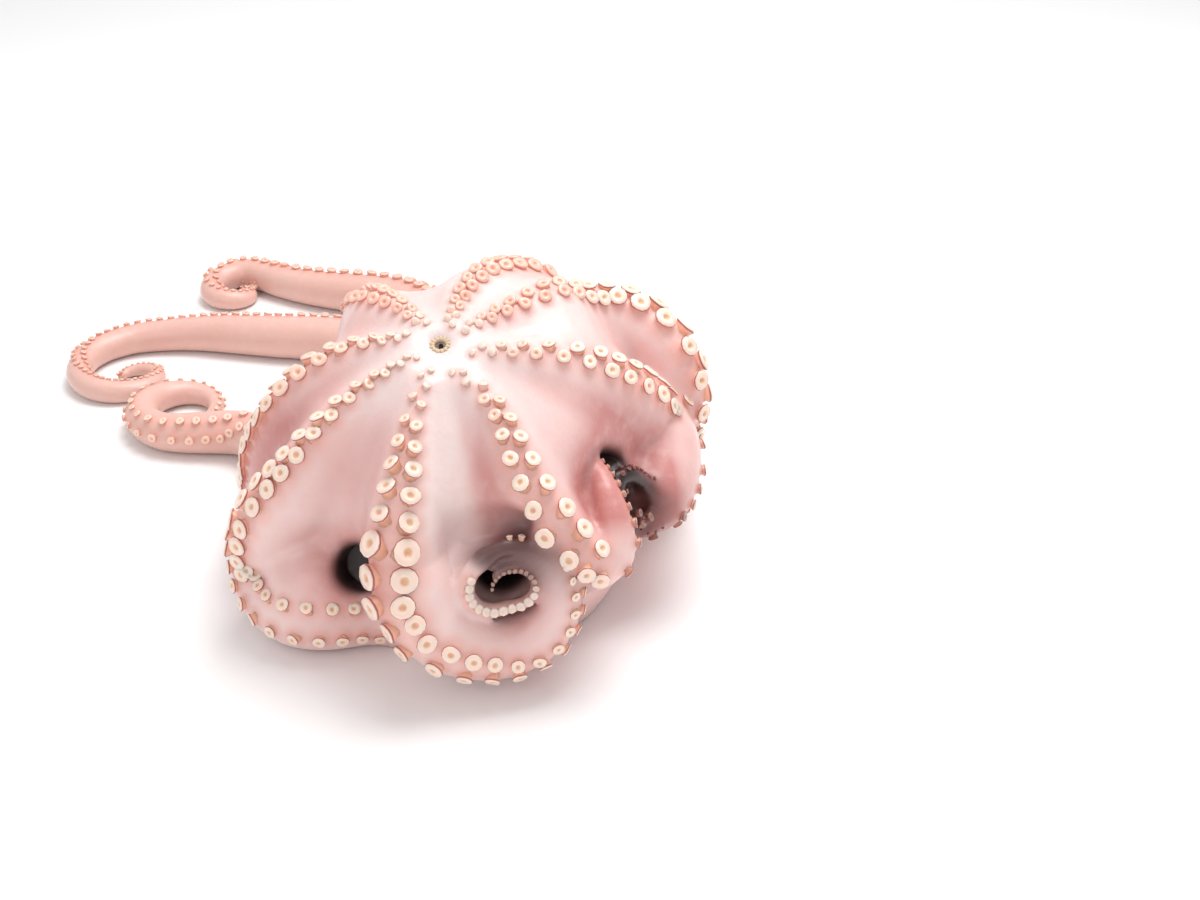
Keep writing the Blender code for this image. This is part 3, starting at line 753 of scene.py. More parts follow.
# %% Seat the suckers
# In a narrow fold the skin lies a little outside the field, so each foot is lifted to the skin.
SEEK = 15 * MM
LARGEST_LIFT = 8 * MM

corners = [tuple(face.vertices) for face in skin_mesh.polygons]
skin_tree = bvhtree.BVHTree.FromPolygons(points.tolist(), corners)
lifted = 0
for index, (foot, aim) in enumerate(zip(feet, aims)):
    place, _, _, away = skin_tree.ray_cast(foot + SEEK * aim, -aim, SEEK)
    if place is not None and SEEK - away < LARGEST_LIFT:
        feet[index] = foot + (SEEK - away) * aim
        lifted += 1
print(lifted, "suckers lifted")

# %% [markdown]
# ## Relief on the skin
#
# Every sucker stands on a soft mound.  The mounds are true shape, so that they show on the outline
# too, and each is a smooth bump that is added to the points near it.  A bump map would be cheaper,
# but the rims of the arms would stay straight.

# %% Mounds under the suckers
MOUND_RADIUS = 0.85                              # of a sucker's width
MOUND_HEIGHT = 0.2
GLOW_FADES = (0.5, 1.35)                         # of the mound's radius
GLOW_REACH = 1.6

tree = kdtree.KDTree(len(points))
for index, point in enumerate(points):
    tree.insert(point, index)
tree.balance()
lift = np.zeros_like(points)
glow = np.zeros(len(points))
for foot, aim, width in zip(feet, aims, widths):
    mound = MOUND_RADIUS * width
    for place, index, away in tree.find_range(foot, GLOW_REACH * mound):
        glow[index] = max(glow[index], 1 - smooth_step(away, GLOW_FADES[0] * mound, GLOW_FADES[1] * mound))
        if away < mound:
            swell = MOUND_HEIGHT * width * (1 - (away / mound) ** 2) ** 2 * aim
            lift[index] = np.where(np.abs(lift[index]) > np.abs(swell), lift[index], swell)
print("%.0f %% of the skin is near a sucker" % (100 * (glow > 0).mean()))

# %% Rest it on the table
points = points + lift
points[:, 2] = np.maximum(points[:, 2], 0.0)
skin_mesh.vertices.foreach_set("co", points.ravel())
skin_mesh.update()
skin_mesh.shade_smooth()
skin = add_piece("skin", skin_mesh)
print("the skin is %.0f mm high" % (points[:, 2].max() / MM))

# %% [markdown]
# ## Where the colours go
#
# Raw octopus is nearly white round the mouth, pink on the webs, salmon on the far ends of the
# arms and orange round the suckers.  On top of that, painted shade darkens the valleys, the
# flanks turned away from the light, the strands in shade and the insides of the folds, and a
# painted highlight lightens the front arm's right flank.  Painting would do this by hand.
# Here each of these is a value on every point, worked out from the arms, and stored in the mesh
# as an attribute that the material reads.

# %% Flushed webs and painted shade
# Azimuth, and how flushed the flesh is high and low on the crown, part the webs' own pink and
# part painted shade in the valleys and on the flanks turned away from the light: most at the left
# and at the right, least on the front arm's right flank.
FLUSHES_AND_SHADE = np.array((
    (0, 0.3, 0.8), (15, 0.3, 0.6), (30, 0.25, 0.5), (68, 0.15, 0.3), (100, 0.15, 0.3), (145, 0.3, 0.6),
    (165, 0.5, 0.9), (182, 0.6, 1.3), (197, 0.5, 1.0), (208, 0.2, 0.3), (216, 0.12, 0.2),
    (222, 0.3, 0.2), (228, 0.5, 0.25), (240, 0.45, 0.2), (252, 0.25, 0.15), (262, 0.06, 0.1),
    (277, 0.06, 0.1), (283, 0.2, 0.25), (289, 0.85, 0.6), (296, 0.95, 0.6), (306, 0.55, 0.6),
    (316, 0.2, 0.3), (342, 0.15, 0.5), (350, 0.4, 1.2), (356, 0.4, 1.3), (360, 0.3, 0.8)))
FLUSH_AND_SHADE_LOWERS = (22, 58)                          # degrees from the mouth, from high to low
CROWN_REACH = 140 * MM
RIDGE_FLUSH_AND_SHADE = 0.35                               # of what the valleys have
VALLEY_DEPTH = (-1 * MM, 9 * MM)
# painted shade: the flesh near the pockets' mouths is darkened in the colour
POCKET_SHADE = 0.5
POCKET_NEARNESS = (2 * MM, 22 * MM)

from_mouth = angle_from_mouth(points)
azimuths = azimuth_of(points)
from_centre = np.linalg.norm(points - CROWN_CENTRE, axis=1)
high_flush_and_shade, low_flush_and_shade = (np.interp(azimuths, FLUSHES_AND_SHADE[:, 0], FLUSHES_AND_SHADE[:, k]) for k in (1, 2))
flush_and_shade = high_flush_and_shade + (low_flush_and_shade - high_flush_and_shade) * smooth_step(from_mouth, *FLUSH_AND_SHADE_LOWERS)
flush_and_shade = flush_and_shade * (from_centre < CROWN_REACH)
# the valleys below the ridges get the most: the webs' own flush together with painted shade
flush_and_shade = flush_and_shade * (RIDGE_FLUSH_AND_SHADE + (1 - RIDGE_FLUSH_AND_SHADE) * smooth_step(CREST_RADIUS - from_centre, *VALLEY_DEPTH))
for name in ("front_left", "right", "right_slot"):
    to_pocket, _ = tube_field(points, pockets[name])
    flush_and_shade = flush_and_shade + POCKET_SHADE * (1 - smooth_step(to_pocket, *POCKET_NEARNESS))
print("the flush goes up to %.2f" % flush_and_shade.max())

# %% Pale parts, a painted highlight and far arms
# In degrees from the mouth.
WHITE_FADES = (4, 34)
HIGHLIGHT_OPENS = (3, 14)
HIGHLIGHT_FADES = (28, 60)
HIGHLIGHT_FADING = 0.65
# The painted highlight's sides, as azimuths: it runs down the front arm's right flank as a pale band.
HIGHLIGHT_LEFT = (256, 264)
HIGHLIGHT_RIGHT = (278, 287)
LIMB_AWAY = (135 * MM, 190 * MM)                 # from the crown's middle
LIMB_BEHIND = (30 * MM, 90 * MM)

near_mouth = 1 - smooth_step(from_mouth, *WHITE_FADES)
# painted highlight: a pale band down the front arm's right flank
painted_highlight = smooth_step(azimuths, *HIGHLIGHT_LEFT) * (1 - smooth_step(azimuths, *HIGHLIGHT_RIGHT))
painted_highlight = painted_highlight * smooth_step(from_mouth, *HIGHLIGHT_OPENS)
painted_highlight = painted_highlight * (1 - HIGHLIGHT_FADING * smooth_step(from_mouth, *HIGHLIGHT_FADES))
limb = smooth_step(from_centre, *LIMB_AWAY) * smooth_step(points[:, 1], *LIMB_BEHIND)
print("%.0f %% of the skin is on the far arms" % (100 * (limb > 0.5).mean()))

# %% Painted shade in the hollows
# A pocket, and how deep in it the painted shade begins and is full, in millimetres.
HOLLOW_SHADE_STRETCHES = (("front_left", 8, 26), ("front", 10, 26), ("right", 8, 28), ("right_slot", 4, 14))
HOLLOW_SHADE_EDGE = (1 * MM, 5 * MM)
CLEAN_TIP = (0.5 * MM, 2.5 * MM)                 # the front right tip stays clear of the dark


def along_tube(points, route, least, most, edge):
    """Nought off the tube; on it, from nought at the least length to one at the most."""
    distance, _ = tube_field(points, route)
    offsets = np.linalg.norm(points[:, None, :] - route[None, :, :3], axis=2)
    lengths = arc_lengths(route)[offsets.argmin(axis=1)]
    return smooth_step(lengths, least * MM, most * MM) * (1 - smooth_step(distance, *edge))


# painted shade: the insides of the pockets are darkened in the colour
painted_hollow_shade = np.zeros(len(points))
for name, shallow, deep in HOLLOW_SHADE_STRETCHES:
    painted_hollow_shade = np.maximum(painted_hollow_shade, along_tube(points, pockets[name], shallow, deep, HOLLOW_SHADE_EDGE))
to_tip, _ = tube_field(points, tips["front_right_tip"])
painted_hollow_shade = painted_hollow_shade * smooth_step(to_tip, *CLEAN_TIP)
print("%.1f %% of the skin is in the hollows" % (100 * (painted_hollow_shade > 0.5).mean()))

# %% Painted shade on the strands
# The last strand of the front arm, and the tips inside the pockets, lie in shade, and that shade is
# painted into their colour.  So is the shade on the flesh behind the strand.
STRAND_BEGINS = 200 * MM                         # along the front arm
SHADE_BEGINS = 222 * MM
ARM_EDGE = (0.5 * MM, 4 * MM)
SHADE_EDGE = (1 * MM, 15 * MM)
SHADE_DEPTH = (-3 * MM, 7 * MM)                  # behind the front of the coil
BLUR_ROUNDS = 3                                  # so that no edge of the dark is ragged

front_lengths = arc_lengths(arms["front"])
strand = arms["front"][front_lengths > STRAND_BEGINS]
to_strand, _ = tube_field(points, arms["front"][front_lengths > SHADE_BEGINS])
behind_coil = -(points - COIL_FRONT) @ COIL_NORMAL
painted_strand_shade = (1 - smooth_step(to_strand, *SHADE_EDGE)) * smooth_step(behind_coil, *SHADE_DEPTH)
# A route, where along it the painted shade begins and is full, in millimetres, and how dark it is.
SHADED_STRETCHES = ((strand, 5, 55, 1.0), (tips["front_tip"], 56, 74, 0.8),
                   (arms["right"], 165, 195, 0.8), (tips["right_tip"], -2, -1, 0.9))
for route, least, most, share in SHADED_STRETCHES:
    painted_strand_shade = np.maximum(painted_strand_shade, share * along_tube(points, route, least, most, ARM_EDGE))
for _ in range(BLUR_ROUNDS):
    painted_hollow_shade = neighbours_mean(painted_hollow_shade)
    painted_strand_shade = neighbours_mean(painted_strand_shade)
print("%.1f %% of the skin is dusky" % (100 * (painted_strand_shade > 0.5).mean()))


# %% Store the values in the mesh
def store(mesh, name, values):
    """A value on every point, which a material or a node tree reads by its name."""
    attribute = mesh.attributes.new(name, "FLOAT", "POINT")
    attribute.data.foreach_set("value", np.asarray(values, dtype=np.float32))


for name, values in (("near_mouth", near_mouth), ("painted_highlight", painted_highlight), ("flush_and_shade", flush_and_shade), ("limb", limb),
                     ("painted_hollow_shade", painted_hollow_shade), ("painted_strand_shade", painted_strand_shade), ("glow", glow)):
    store(skin_mesh, name, values)
    print("%-10s %.2f on average" % (name, values.mean()))

# %% [markdown]
# ## One sucker
#
# A sucker is a short stalk with a thick soft disc on it and a small pit in the middle.  It is a
# turned shape, so a profile is spun round its axis.  It is repeated hundreds of times, so it has
# few faces, and smooth shading rounds it.  The value "ring" runs from the foot over the rim to
# the pit, so that one material can colour all of its parts.

# %% Turn a sucker from its profile
# Each station is a radius over the width, a height over the rise, and the ring.
LARGE_PROFILE = ((0.47, -0.30, 0.0), (0.37, 0.25, 0.25), (0.49, 0.72, 0.5), (0.43, 0.98, 0.65),
                 (0.18, 0.94, 0.85), (0.10, 0.78, 0.94))
SMALL_PROFILE = ((0.44, -0.30, 0.0), (0.36, 0.30, 0.25), (0.49, 0.75, 0.5), (0.36, 1.0, 0.70))


def turned_sucker(name, profile, sides, pit_height):
    """The profile turned round the Z axis, closed at the foot and in the pit."""
    shape = bmesh.new()
    ring_layer = shape.verts.layers.float.new("ring")
    rings = []
    for radius, height, ring in profile:
        corners = []
        for k in range(sides):
            angle = math.tau * k / sides
            corner = shape.verts.new((radius * math.cos(angle), radius * math.sin(angle), height))
            corner[ring_layer] = ring
            corners.append(corner)
        rings.append(corners)
    for lower, upper in zip(rings, rings[1:]):
        for k in range(sides):
            shape.faces.new((lower[k], lower[(k + 1) % sides], upper[(k + 1) % sides], upper[k]))
    middle = shape.verts.new((0, 0, pit_height))
    middle[ring_layer] = 1.0
    for k in range(sides):
        shape.faces.new((rings[-1][k], rings[-1][(k + 1) % sides], middle))
    shape.faces.new(list(reversed(rings[0])))
    mesh = bpy.data.meshes.new(name)
    shape.to_mesh(mesh)
    shape.free()
    mesh.shade_smooth()
    return add_piece(name, mesh)


large_sucker = turned_sucker("large_sucker", LARGE_PROFILE, sides=12, pit_height=0.64)
small_sucker = turned_sucker("small_sucker", SMALL_PROFILE, sides=8, pit_height=0.80)
print("faces of a sucker:", len(large_sucker.data.polygons), "and", len(small_sucker.data.polygons))

# %% [markdown]
# ## All the suckers
#
# Placing hundreds of copies by hand would never end.  The feet are points with an aim, a width
# and a blush, and a Geometry Nodes tree puts a sucker on each, turns it along its aim, tilts it
# a little at random, and makes the soft discs uneven.  The tree ends in real mesh.

# %% Helpers for node trees
def add_node(tree, kind, inputs=None, **settings):
    """A node with some settings and input values; a value that is a socket is linked."""
    node = tree.nodes.new(kind)
    for name, value in settings.items():
        setattr(node, name, value)
    for name, value in (inputs or {}).items():
        if isinstance(value, bpy.types.NodeSocket):
            tree.links.new(value, node.inputs[name])
        else:
            node.inputs[name].default_value = value
    return node


def add_socket(tree, name, kind, direction="INPUT", default=None):
    """A named way into a node group, or out of it."""
    socket = tree.interface.new_socket(name, in_out=direction, socket_type="NodeSocket" + kind)
    if default is not None:
        socket.default_value = default
    return socket


print("helpers for node trees are ready")


# %% The tree that plants the suckers
def planting_tree():
    """On every point a sucker, by the point's aim, width and rise."""
    tree = bpy.data.node_groups.new("plant_suckers", "GeometryNodeTree")
    add_socket(tree, "Geometry", "Geometry")
    add_socket(tree, "Sucker", "Object")
    add_socket(tree, "Tilt", "Float", default=0.16)
    add_socket(tree, "Ovalness", "Float", default=0.12)
    add_socket(tree, "Unevenness", "Float", default=0.0007)
    add_socket(tree, "Seed", "Int", default=7)
    add_socket(tree, "Finish", "Material")
    add_socket(tree, "Geometry", "Geometry", "OUTPUT")
    given = tree.nodes.new("NodeGroupInput").outputs
    aim = add_node(tree, "GeometryNodeInputNamedAttribute", {"Name": "aim"}, data_type="FLOAT_VECTOR")
    width = add_node(tree, "GeometryNodeInputNamedAttribute", {"Name": "width"}, data_type="FLOAT")
    rise = add_node(tree, "GeometryNodeInputNamedAttribute", {"Name": "rise"}, data_type="FLOAT")
    upright = add_node(tree, "FunctionNodeAlignRotationToVector", {"Vector": aim.outputs[0]}, axis="Z")
    tilt_back = add_node(tree, "ShaderNodeMath", {0: given["Tilt"], 1: -1.0}, operation="MULTIPLY")
    low = add_node(tree, "ShaderNodeCombineXYZ", {0: tilt_back.outputs[0], 1: tilt_back.outputs[0], 2: -3.14})
    high = add_node(tree, "ShaderNodeCombineXYZ", {0: given["Tilt"], 1: given["Tilt"], 2: 3.14})
    lean = add_node(tree, "FunctionNodeRandomValue",
                    {"Min": low.outputs[0], "Max": high.outputs[0], "Seed": given["Seed"]},
                    data_type="FLOAT_VECTOR")
    turned = add_node(tree, "FunctionNodeRotateRotation",
                      {"Rotation": upright.outputs[0], "Rotate By": lean.outputs[0]}, rotation_space="LOCAL")
    narrow = add_node(tree, "FunctionNodeRandomValue", {2: 0.0, 3: given["Ovalness"], "Seed": given["Seed"]},
                      data_type="FLOAT")
    short = add_node(tree, "ShaderNodeMath", {0: 1.0, 1: narrow.outputs[1]}, operation="SUBTRACT")
    depth = add_node(tree, "ShaderNodeMath", {0: width.outputs[0], 1: short.outputs[0]}, operation="MULTIPLY")
    size = add_node(tree, "ShaderNodeCombineXYZ",
                    {0: width.outputs[0], 1: depth.outputs[0], 2: rise.outputs[0]})
    cup = add_node(tree, "GeometryNodeObjectInfo", {"Object": given["Sucker"]})
    copies = add_node(tree, "GeometryNodeInstanceOnPoints",
                      {"Points": given["Geometry"], "Instance": cup.outputs["Geometry"],
                       "Rotation": turned.outputs[0], "Scale": size.outputs[0]})
    real = add_node(tree, "GeometryNodeRealizeInstances", {"Geometry": copies.outputs[0]})
    noise = add_node(tree, "ShaderNodeTexNoise", {"Scale": 190.0, "Detail": 1.0})
    centred = add_node(tree, "ShaderNodeVectorMath", {0: noise.outputs["Color"], 1: (0.5, 0.5, 0.5)},
                       operation="SUBTRACT")
    shift = add_node(tree, "ShaderNodeVectorMath", {0: centred.outputs[0]}, operation="SCALE")
    doubled = add_node(tree, "ShaderNodeMath", {0: given["Unevenness"], 1: 2.0}, operation="MULTIPLY")
    tree.links.new(doubled.outputs[0], shift.inputs["Scale"])
    uneven = add_node(tree, "GeometryNodeSetPosition",
                      {"Geometry": real.outputs[0], "Offset": shift.outputs[0]})
    dressed = add_node(tree, "GeometryNodeSetMaterial",
                       {"Geometry": uneven.outputs[0], "Material": given["Finish"]})
    out = tree.nodes.new("NodeGroupOutput")
    tree.links.new(dressed.outputs[0], out.inputs["Geometry"])
    return tree


plant_suckers = planting_tree()
print("the planting tree has", len(plant_suckers.nodes), "nodes")

# %% [markdown]
# ## Finishes
#
# Wet flesh lets light in a little way, so it has subsurface scattering, and it shines, so it has
# a clear coat.  The wet shine is used by flesh, suckers and lips alike, so it is a node group
# with named inputs that each material sets for itself.

# %% Colours
def srgb(red, green, blue):
    """A colour as it looks, 0 to 255, as the linear values that shaders want."""
    values = np.array((red, green, blue)) / 255
    return (*np.where(values <= 0.04045, values / 12.92, ((values + 0.055) / 1.055) ** 2.4), 1.0)


def mixed(tree, factor, first, second):
    """A colour between two; each of the three is a value or a socket."""
    mix = add_node(tree, "ShaderNodeMix", data_type="RGBA")
    for socket, value in zip((mix.inputs[0], mix.inputs[6], mix.inputs[7]), (factor, first, second)):
        if isinstance(value, bpy.types.NodeSocket):
            tree.links.new(value, socket)
        else:
            socket.default_value = value
    return mix.outputs[2]


print("half grey is", np.round(srgb(188, 188, 188), 2))


# %% The wet surface
def wet_surface_group():
    """Roughness that differs in patches, and the height of fine wrinkles."""
    tree = bpy.data.node_groups.new("wet surface", "ShaderNodeTree")
    add_socket(tree, "Roughness", "Float", default=0.3)
    add_socket(tree, "Patchiness", "Float", default=0.1)
    add_socket(tree, "Wrinkle Size", "Float", default=300.0)
    add_socket(tree, "Roughness", "Float", "OUTPUT")
    add_socket(tree, "Height", "Float", "OUTPUT")
    given = tree.nodes.new("NodeGroupInput").outputs
    place = add_node(tree, "ShaderNodeTexCoord").outputs["Object"]
    patches = add_node(tree, "ShaderNodeTexNoise", {"Vector": place, "Scale": 45.0, "Detail": 2.0})
    centred = add_node(tree, "ShaderNodeMath", {0: patches.outputs[0], 1: 0.5}, operation="SUBTRACT")
    change = add_node(tree, "ShaderNodeMath", {0: centred.outputs[0], 1: given["Patchiness"]},
                      operation="MULTIPLY")
    rough = add_node(tree, "ShaderNodeMath", {0: given["Roughness"], 1: change.outputs[0]}, operation="ADD")
    wrinkles = add_node(tree, "ShaderNodeTexNoise",
                        {"Vector": place, "Scale": given["Wrinkle Size"], "Detail": 3.0, "Roughness": 0.55})
    out = tree.nodes.new("NodeGroupOutput")
    tree.links.new(rough.outputs[0], out.inputs["Roughness"])
    tree.links.new(wrinkles.outputs[0], out.inputs["Height"])
    return tree


wet_surface = wet_surface_group()
print("the wet surface has", len(wet_surface.nodes), "nodes")

# %% A wet finish
SCATTER_DEPTH = 5 * MM
SCATTER_BY_COLOUR = (1.0, 0.4, 0.25)             # red light goes deepest into flesh
COAT_ROUGHNESS = 0.22
WET_IOR = 1.38
WRINKLE_DEPTH = 0.6 * MM


def wet_material(name, colour_of, roughness, coat, bump, wrinkle_size, scatter):
    """A wet finish: colour_of(tree) gives the socket or the colour to use."""
    material = bpy.data.materials.new(name)
    material.use_nodes = True
    tree = material.node_tree
    shader = tree.nodes["Principled BSDF"]
    wet = add_node(tree, "ShaderNodeGroup", node_tree=wet_surface)
    wet.inputs["Roughness"].default_value = roughness
    wet.inputs["Wrinkle Size"].default_value = wrinkle_size
    colour = colour_of(tree)
    if isinstance(colour, bpy.types.NodeSocket):
        tree.links.new(colour, shader.inputs["Base Color"])
    else:
        shader.inputs["Base Color"].default_value = colour
    tree.links.new(wet.outputs["Roughness"], shader.inputs["Roughness"])
    bumps = add_node(tree, "ShaderNodeBump",
                     {"Strength": bump, "Distance": WRINKLE_DEPTH, "Height": wet.outputs["Height"]})
    tree.links.new(bumps.outputs[0], shader.inputs["Normal"])
    shader.inputs["Subsurface Weight"].default_value = scatter
    shader.inputs["Subsurface Radius"].default_value = SCATTER_BY_COLOUR
    shader.inputs["Subsurface Scale"].default_value = SCATTER_DEPTH
    shader.inputs["Coat Weight"].default_value = coat
    shader.inputs["Coat Roughness"].default_value = COAT_ROUGHNESS
    shader.inputs["IOR"].default_value = WET_IOR
    return material


print("a wet finish is ready for flesh, suckers, lips, beak and eyes")

# %% [markdown]
# ## Flesh
#
# The colour of the flesh is mixed in layers: first the pale flesh with pink clouds in it, then
# a painted highlight down the front arm's right flank, the flushed webs with painted shade in
# their valleys, the salmon of the far arms, the white round the mouth, the orange round the
# suckers, fine specks, and last painted shade on the strands in shade and in the hollows.  Each
# layer reads its value from the mesh.

# %% The flesh's colour
PALE_FLESH = srgb(243, 216, 212)
CLOUDED_FLESH = srgb(236, 196, 191)
# the colour of the painted highlight on the front arm's right flank
PAINTED_HIGHLIGHT_FLESH = srgb(250, 234, 230)
# part the webs' own pink, part painted shade in the valleys, on the shaded flanks and near the pockets
FLUSH_AND_SHADE_FLESH = srgb(200, 126, 121)
WHITE_FLESH = srgb(230, 212, 209)
LIMB_FLESH = srgb(217, 172, 158)
SUCKER_GLOW = srgb(232, 154, 134)
# painted shade on the strands and tips that lie in shade
STRAND_SHADE_PAINT = srgb(80, 48, 48)
# painted shade inside the pockets and folds
FOLD_SHADE_PAINT = srgb(46, 32, 32)


def masked(tree, name, most):
    """An attribute of the mesh, kept between nought and one, times the most."""
    value = add_node(tree, "ShaderNodeAttribute", attribute_name=name)
    stretched = add_node(tree, "ShaderNodeMapRange", {0: value.outputs["Fac"], 3: 0.0, 4: most})
    return stretched.outputs[0]


def noise_between(tree, scale, detail, low, high, most):
    """Noise in the flesh, stretched so that low gives nought and high gives the most."""
    place = add_node(tree, "ShaderNodeTexCoord").outputs["Object"]
    noise = add_node(tree, "ShaderNodeTexNoise", {"Vector": place, "Scale": scale, "Detail": detail})
    stretched = add_node(tree, "ShaderNodeMapRange", {0: noise.outputs[0], 1: low, 2: high, 3: 0.0, 4: most})
    return stretched.outputs[0]


def flesh_colour(tree):
    """The layers, from the pale flesh up to the painted shade of the hollows."""
    clouds = noise_between(tree, 28.0, 3.0, 0.35, 0.7, 1.0)
    specks = noise_between(tree, 150.0, 4.0, 0.5, 0.8, 0.35)
    colour = mixed(tree, clouds, PALE_FLESH, CLOUDED_FLESH)
    for name, most, layer in (("painted_highlight", 0.8, PAINTED_HIGHLIGHT_FLESH), ("flush_and_shade", 0.9, FLUSH_AND_SHADE_FLESH),
                              ("limb", 0.8, LIMB_FLESH), ("near_mouth", 0.85, WHITE_FLESH),
                              ("glow", 0.42, SUCKER_GLOW)):
        colour = mixed(tree, masked(tree, name, most), colour, layer)
    colour = mixed(tree, specks, colour, CLOUDED_FLESH)
    # last the painted shade: strands in shade and the insides of the pockets are darkened
    for name, most, layer in (("painted_strand_shade", 0.92, STRAND_SHADE_PAINT), ("painted_hollow_shade", 0.95, FOLD_SHADE_PAINT)):
        colour = mixed(tree, masked(tree, name, most), colour, layer)
    return colour


flesh = wet_material("wet flesh", flesh_colour, roughness=0.38, coat=0.3, bump=0.4,
                     wrinkle_size=260.0, scatter=0.3)
skin.data.materials.clear()
skin.data.materials.append(flesh)
print("flesh is mixed in", sum(node.type == "MIX" for node in flesh.node_tree.nodes), "steps")

# %% [markdown]
# ## Suckers
#
# A sucker's stalk is orange pink, its disc cream, the pit in its middle tan, and a thin dark
# line of painted shade runs round the underside of the rim.  The ring value of the turned shape
# tells these apart, through a colour ramp.  Near the mouth the whole sucker is faint, on the arms
# behind it blushes, and inside the pockets it is darkened with painted shade, so each sucker
# carries these three values from the point it is planted on.

# %% The suckers' colour
STALK = srgb(250, 190, 164)
# painted shade: a thin dark line under the rim, where the disc overhangs the stalk
RIM_SHADE_LINE = srgb(162, 98, 98)
DISC = srgb(250, 222, 208)
PIT = srgb(236, 192, 154)
BLUSH = srgb(236, 172, 154)
FAINT = srgb(244, 214, 203)
# painted shade for suckers deep in the pockets and in the coil
SUCKER_SHADE_PAINT = srgb(112, 62, 60)
RING_COLOURS = ((0.0, STALK), (1.0, PIT), (0.42, STALK), (0.49, RIM_SHADE_LINE), (0.53, RIM_SHADE_LINE),
                (0.58, DISC), (0.84, DISC), (0.91, PIT))


def sucker_colour(tree):
    """The ramp from foot to pit, then the blush, the faintness and the painted shade."""
    ring = add_node(tree, "ShaderNodeAttribute", attribute_name="ring").outputs["Fac"]
    ramp = add_node(tree, "ShaderNodeValToRGB", {"Fac": ring})
    stops = ramp.color_ramp.elements
    for stop, (position, colour) in zip(stops, RING_COLOURS):
        stop.position, stop.color = position, colour
    for position, colour in RING_COLOURS[2:]:
        stops.new(position).color = colour
    colour = ramp.outputs[0]
    for name, layer in (("blush", BLUSH), ("faintness", FAINT), ("painted_sucker_shade", SUCKER_SHADE_PAINT)):
        share = add_node(tree, "ShaderNodeAttribute", attribute_name=name).outputs["Fac"]
        colour = mixed(tree, share, colour, layer)
    return colour


sucker_flesh = wet_material("sucker flesh", sucker_colour, roughness=0.32, coat=0.3, bump=0.15,
                            wrinkle_size=420.0, scatter=0.45)
print("a sucker's ramp has", len(RING_COLOURS), "stops")


# %% How blushed, faint and darkened by painted shade each sucker is
# The pairs are lengths along the arm in millimetres, between which a value comes or goes.
def of_arms(shares):
    """A value for every sucker, by the name of its arm."""
    values = np.zeros(len(feet))
    for name, value in shares.items():
        values = np.where(arm_numbers == list(rows_of).index(name), value, values)
    return values


FAR_AWAY = (150 * MM, 200 * MM)                  # from the crown's middle
FAR_BEHIND = 60 * MM

far_arm = smooth_step(np.linalg.norm(feet - CROWN_CENTRE, axis=1), *FAR_AWAY)
far_arm = far_arm * (feet[:, 1] > FAR_BEHIND)
blush = of_arms({"back": 0.65, "back_left": 0.65, "left": 0.4 * (1 - smooth_step(along, 50, 90)),
                 "back_right": 0.65 * (1 - smooth_step(along, 50, 100))})
blush = np.maximum(np.maximum(blush, 0.4 * (1 - smooth_step(along, 12, 46))), 0.35 * far_arm)
faintness = np.maximum(0.85 * (1 - smooth_step(along, -6, 20)), of_arms({"front_tip": 0.8}))
faintness = faintness * (arm_numbers != list(rows_of).index("right_tip"))
# painted shade: suckers that lie in the pockets and in the coil's shade are darkened
painted_sucker_shade = of_arms({"right": 0.3 * smooth_step(along, 105, 120) + 0.5 * smooth_step(along, 165, 180),
                   "right_tip": 0.92, "front_right_tip": 0.45,
                   "front_tip": 0.7 * smooth_step(along, 62, 74)})
print("blush from %.2f to %.2f" % (blush.min(), blush.max()))

# %% Plant the suckers
LEAST_LARGE = 5.6 * MM                           # narrower ones get the plainer shape


def planted_suckers(name, cup, chosen):
    """The chosen suckers as one piece of real mesh, none of it under the table."""
    cloud = bpy.data.meshes.new(name)
    cloud.from_pydata(feet[chosen].tolist(), [], [])
    aim = cloud.attributes.new("aim", "FLOAT_VECTOR", "POINT")
    aim.data.foreach_set("vector", aims[chosen].astype(np.float32).ravel())
    for value_name, values in (("width", widths), ("rise", RISE * widths), ("blush", blush),
                               ("faintness", faintness), ("painted_sucker_shade", painted_sucker_shade)):
        store(cloud, value_name, values[chosen])
    piece = add_piece(name, cloud)
    modifier = piece.modifiers.new("Plant", "NODES")
    modifier.node_group = plant_suckers
    sockets = {item.name: item.identifier for item in plant_suckers.interface.items_tree
               if item.in_out == "INPUT"}
    modifier[sockets["Sucker"]] = cup
    modifier[sockets["Finish"]] = sucker_flesh
    piece.data = baked_mesh(piece)
    piece.modifiers.clear()
    places = points_of(piece.data)
    places[:, 2] = np.maximum(places[:, 2], 0.0)
    piece.data.vertices.foreach_set("co", places.ravel())
    piece.data.update()
    print(name, len(piece.data.polygons), "faces")
    return piece


large_ones = planted_suckers("suckers_large", large_sucker, widths >= LEAST_LARGE)
small_ones = planted_suckers("suckers_small", small_sucker, widths < LEAST_LARGE)
for cup in (large_sucker, small_sucker):
    bpy.data.objects.remove(cup)

# %% [markdown]
# ## The mouth
#
# The mouth is a small beige ring of ruffled lip with the tips of a dark horny beak inside it.  The
# ring is a closed band whose height and width ripple as it goes round, which a torus with a wave
# on it could be too.  Each half of the beak is a cone that leans over the mouth.

# %% Lips
MOUTH_REACH = 124 * MM                           # from the crown's middle to the lips
MOUTH_PLACE = CROWN_CENTRE + MOUTH_REACH * MOUTH_WAY
LIP_RADIUS = 4.1 * MM
LIP_THICKNESS = 1.5 * MM
LIP_LEVEL = -1.6 * MM                            # of its middle, against the mouth's place
RUFFLES = 13
RUFFLE_WIDTH = 0.35 * MM
RUFFLE_SWELL = 0.25                              # of the thickness
LIP_BEIGE = srgb(214, 190, 160)


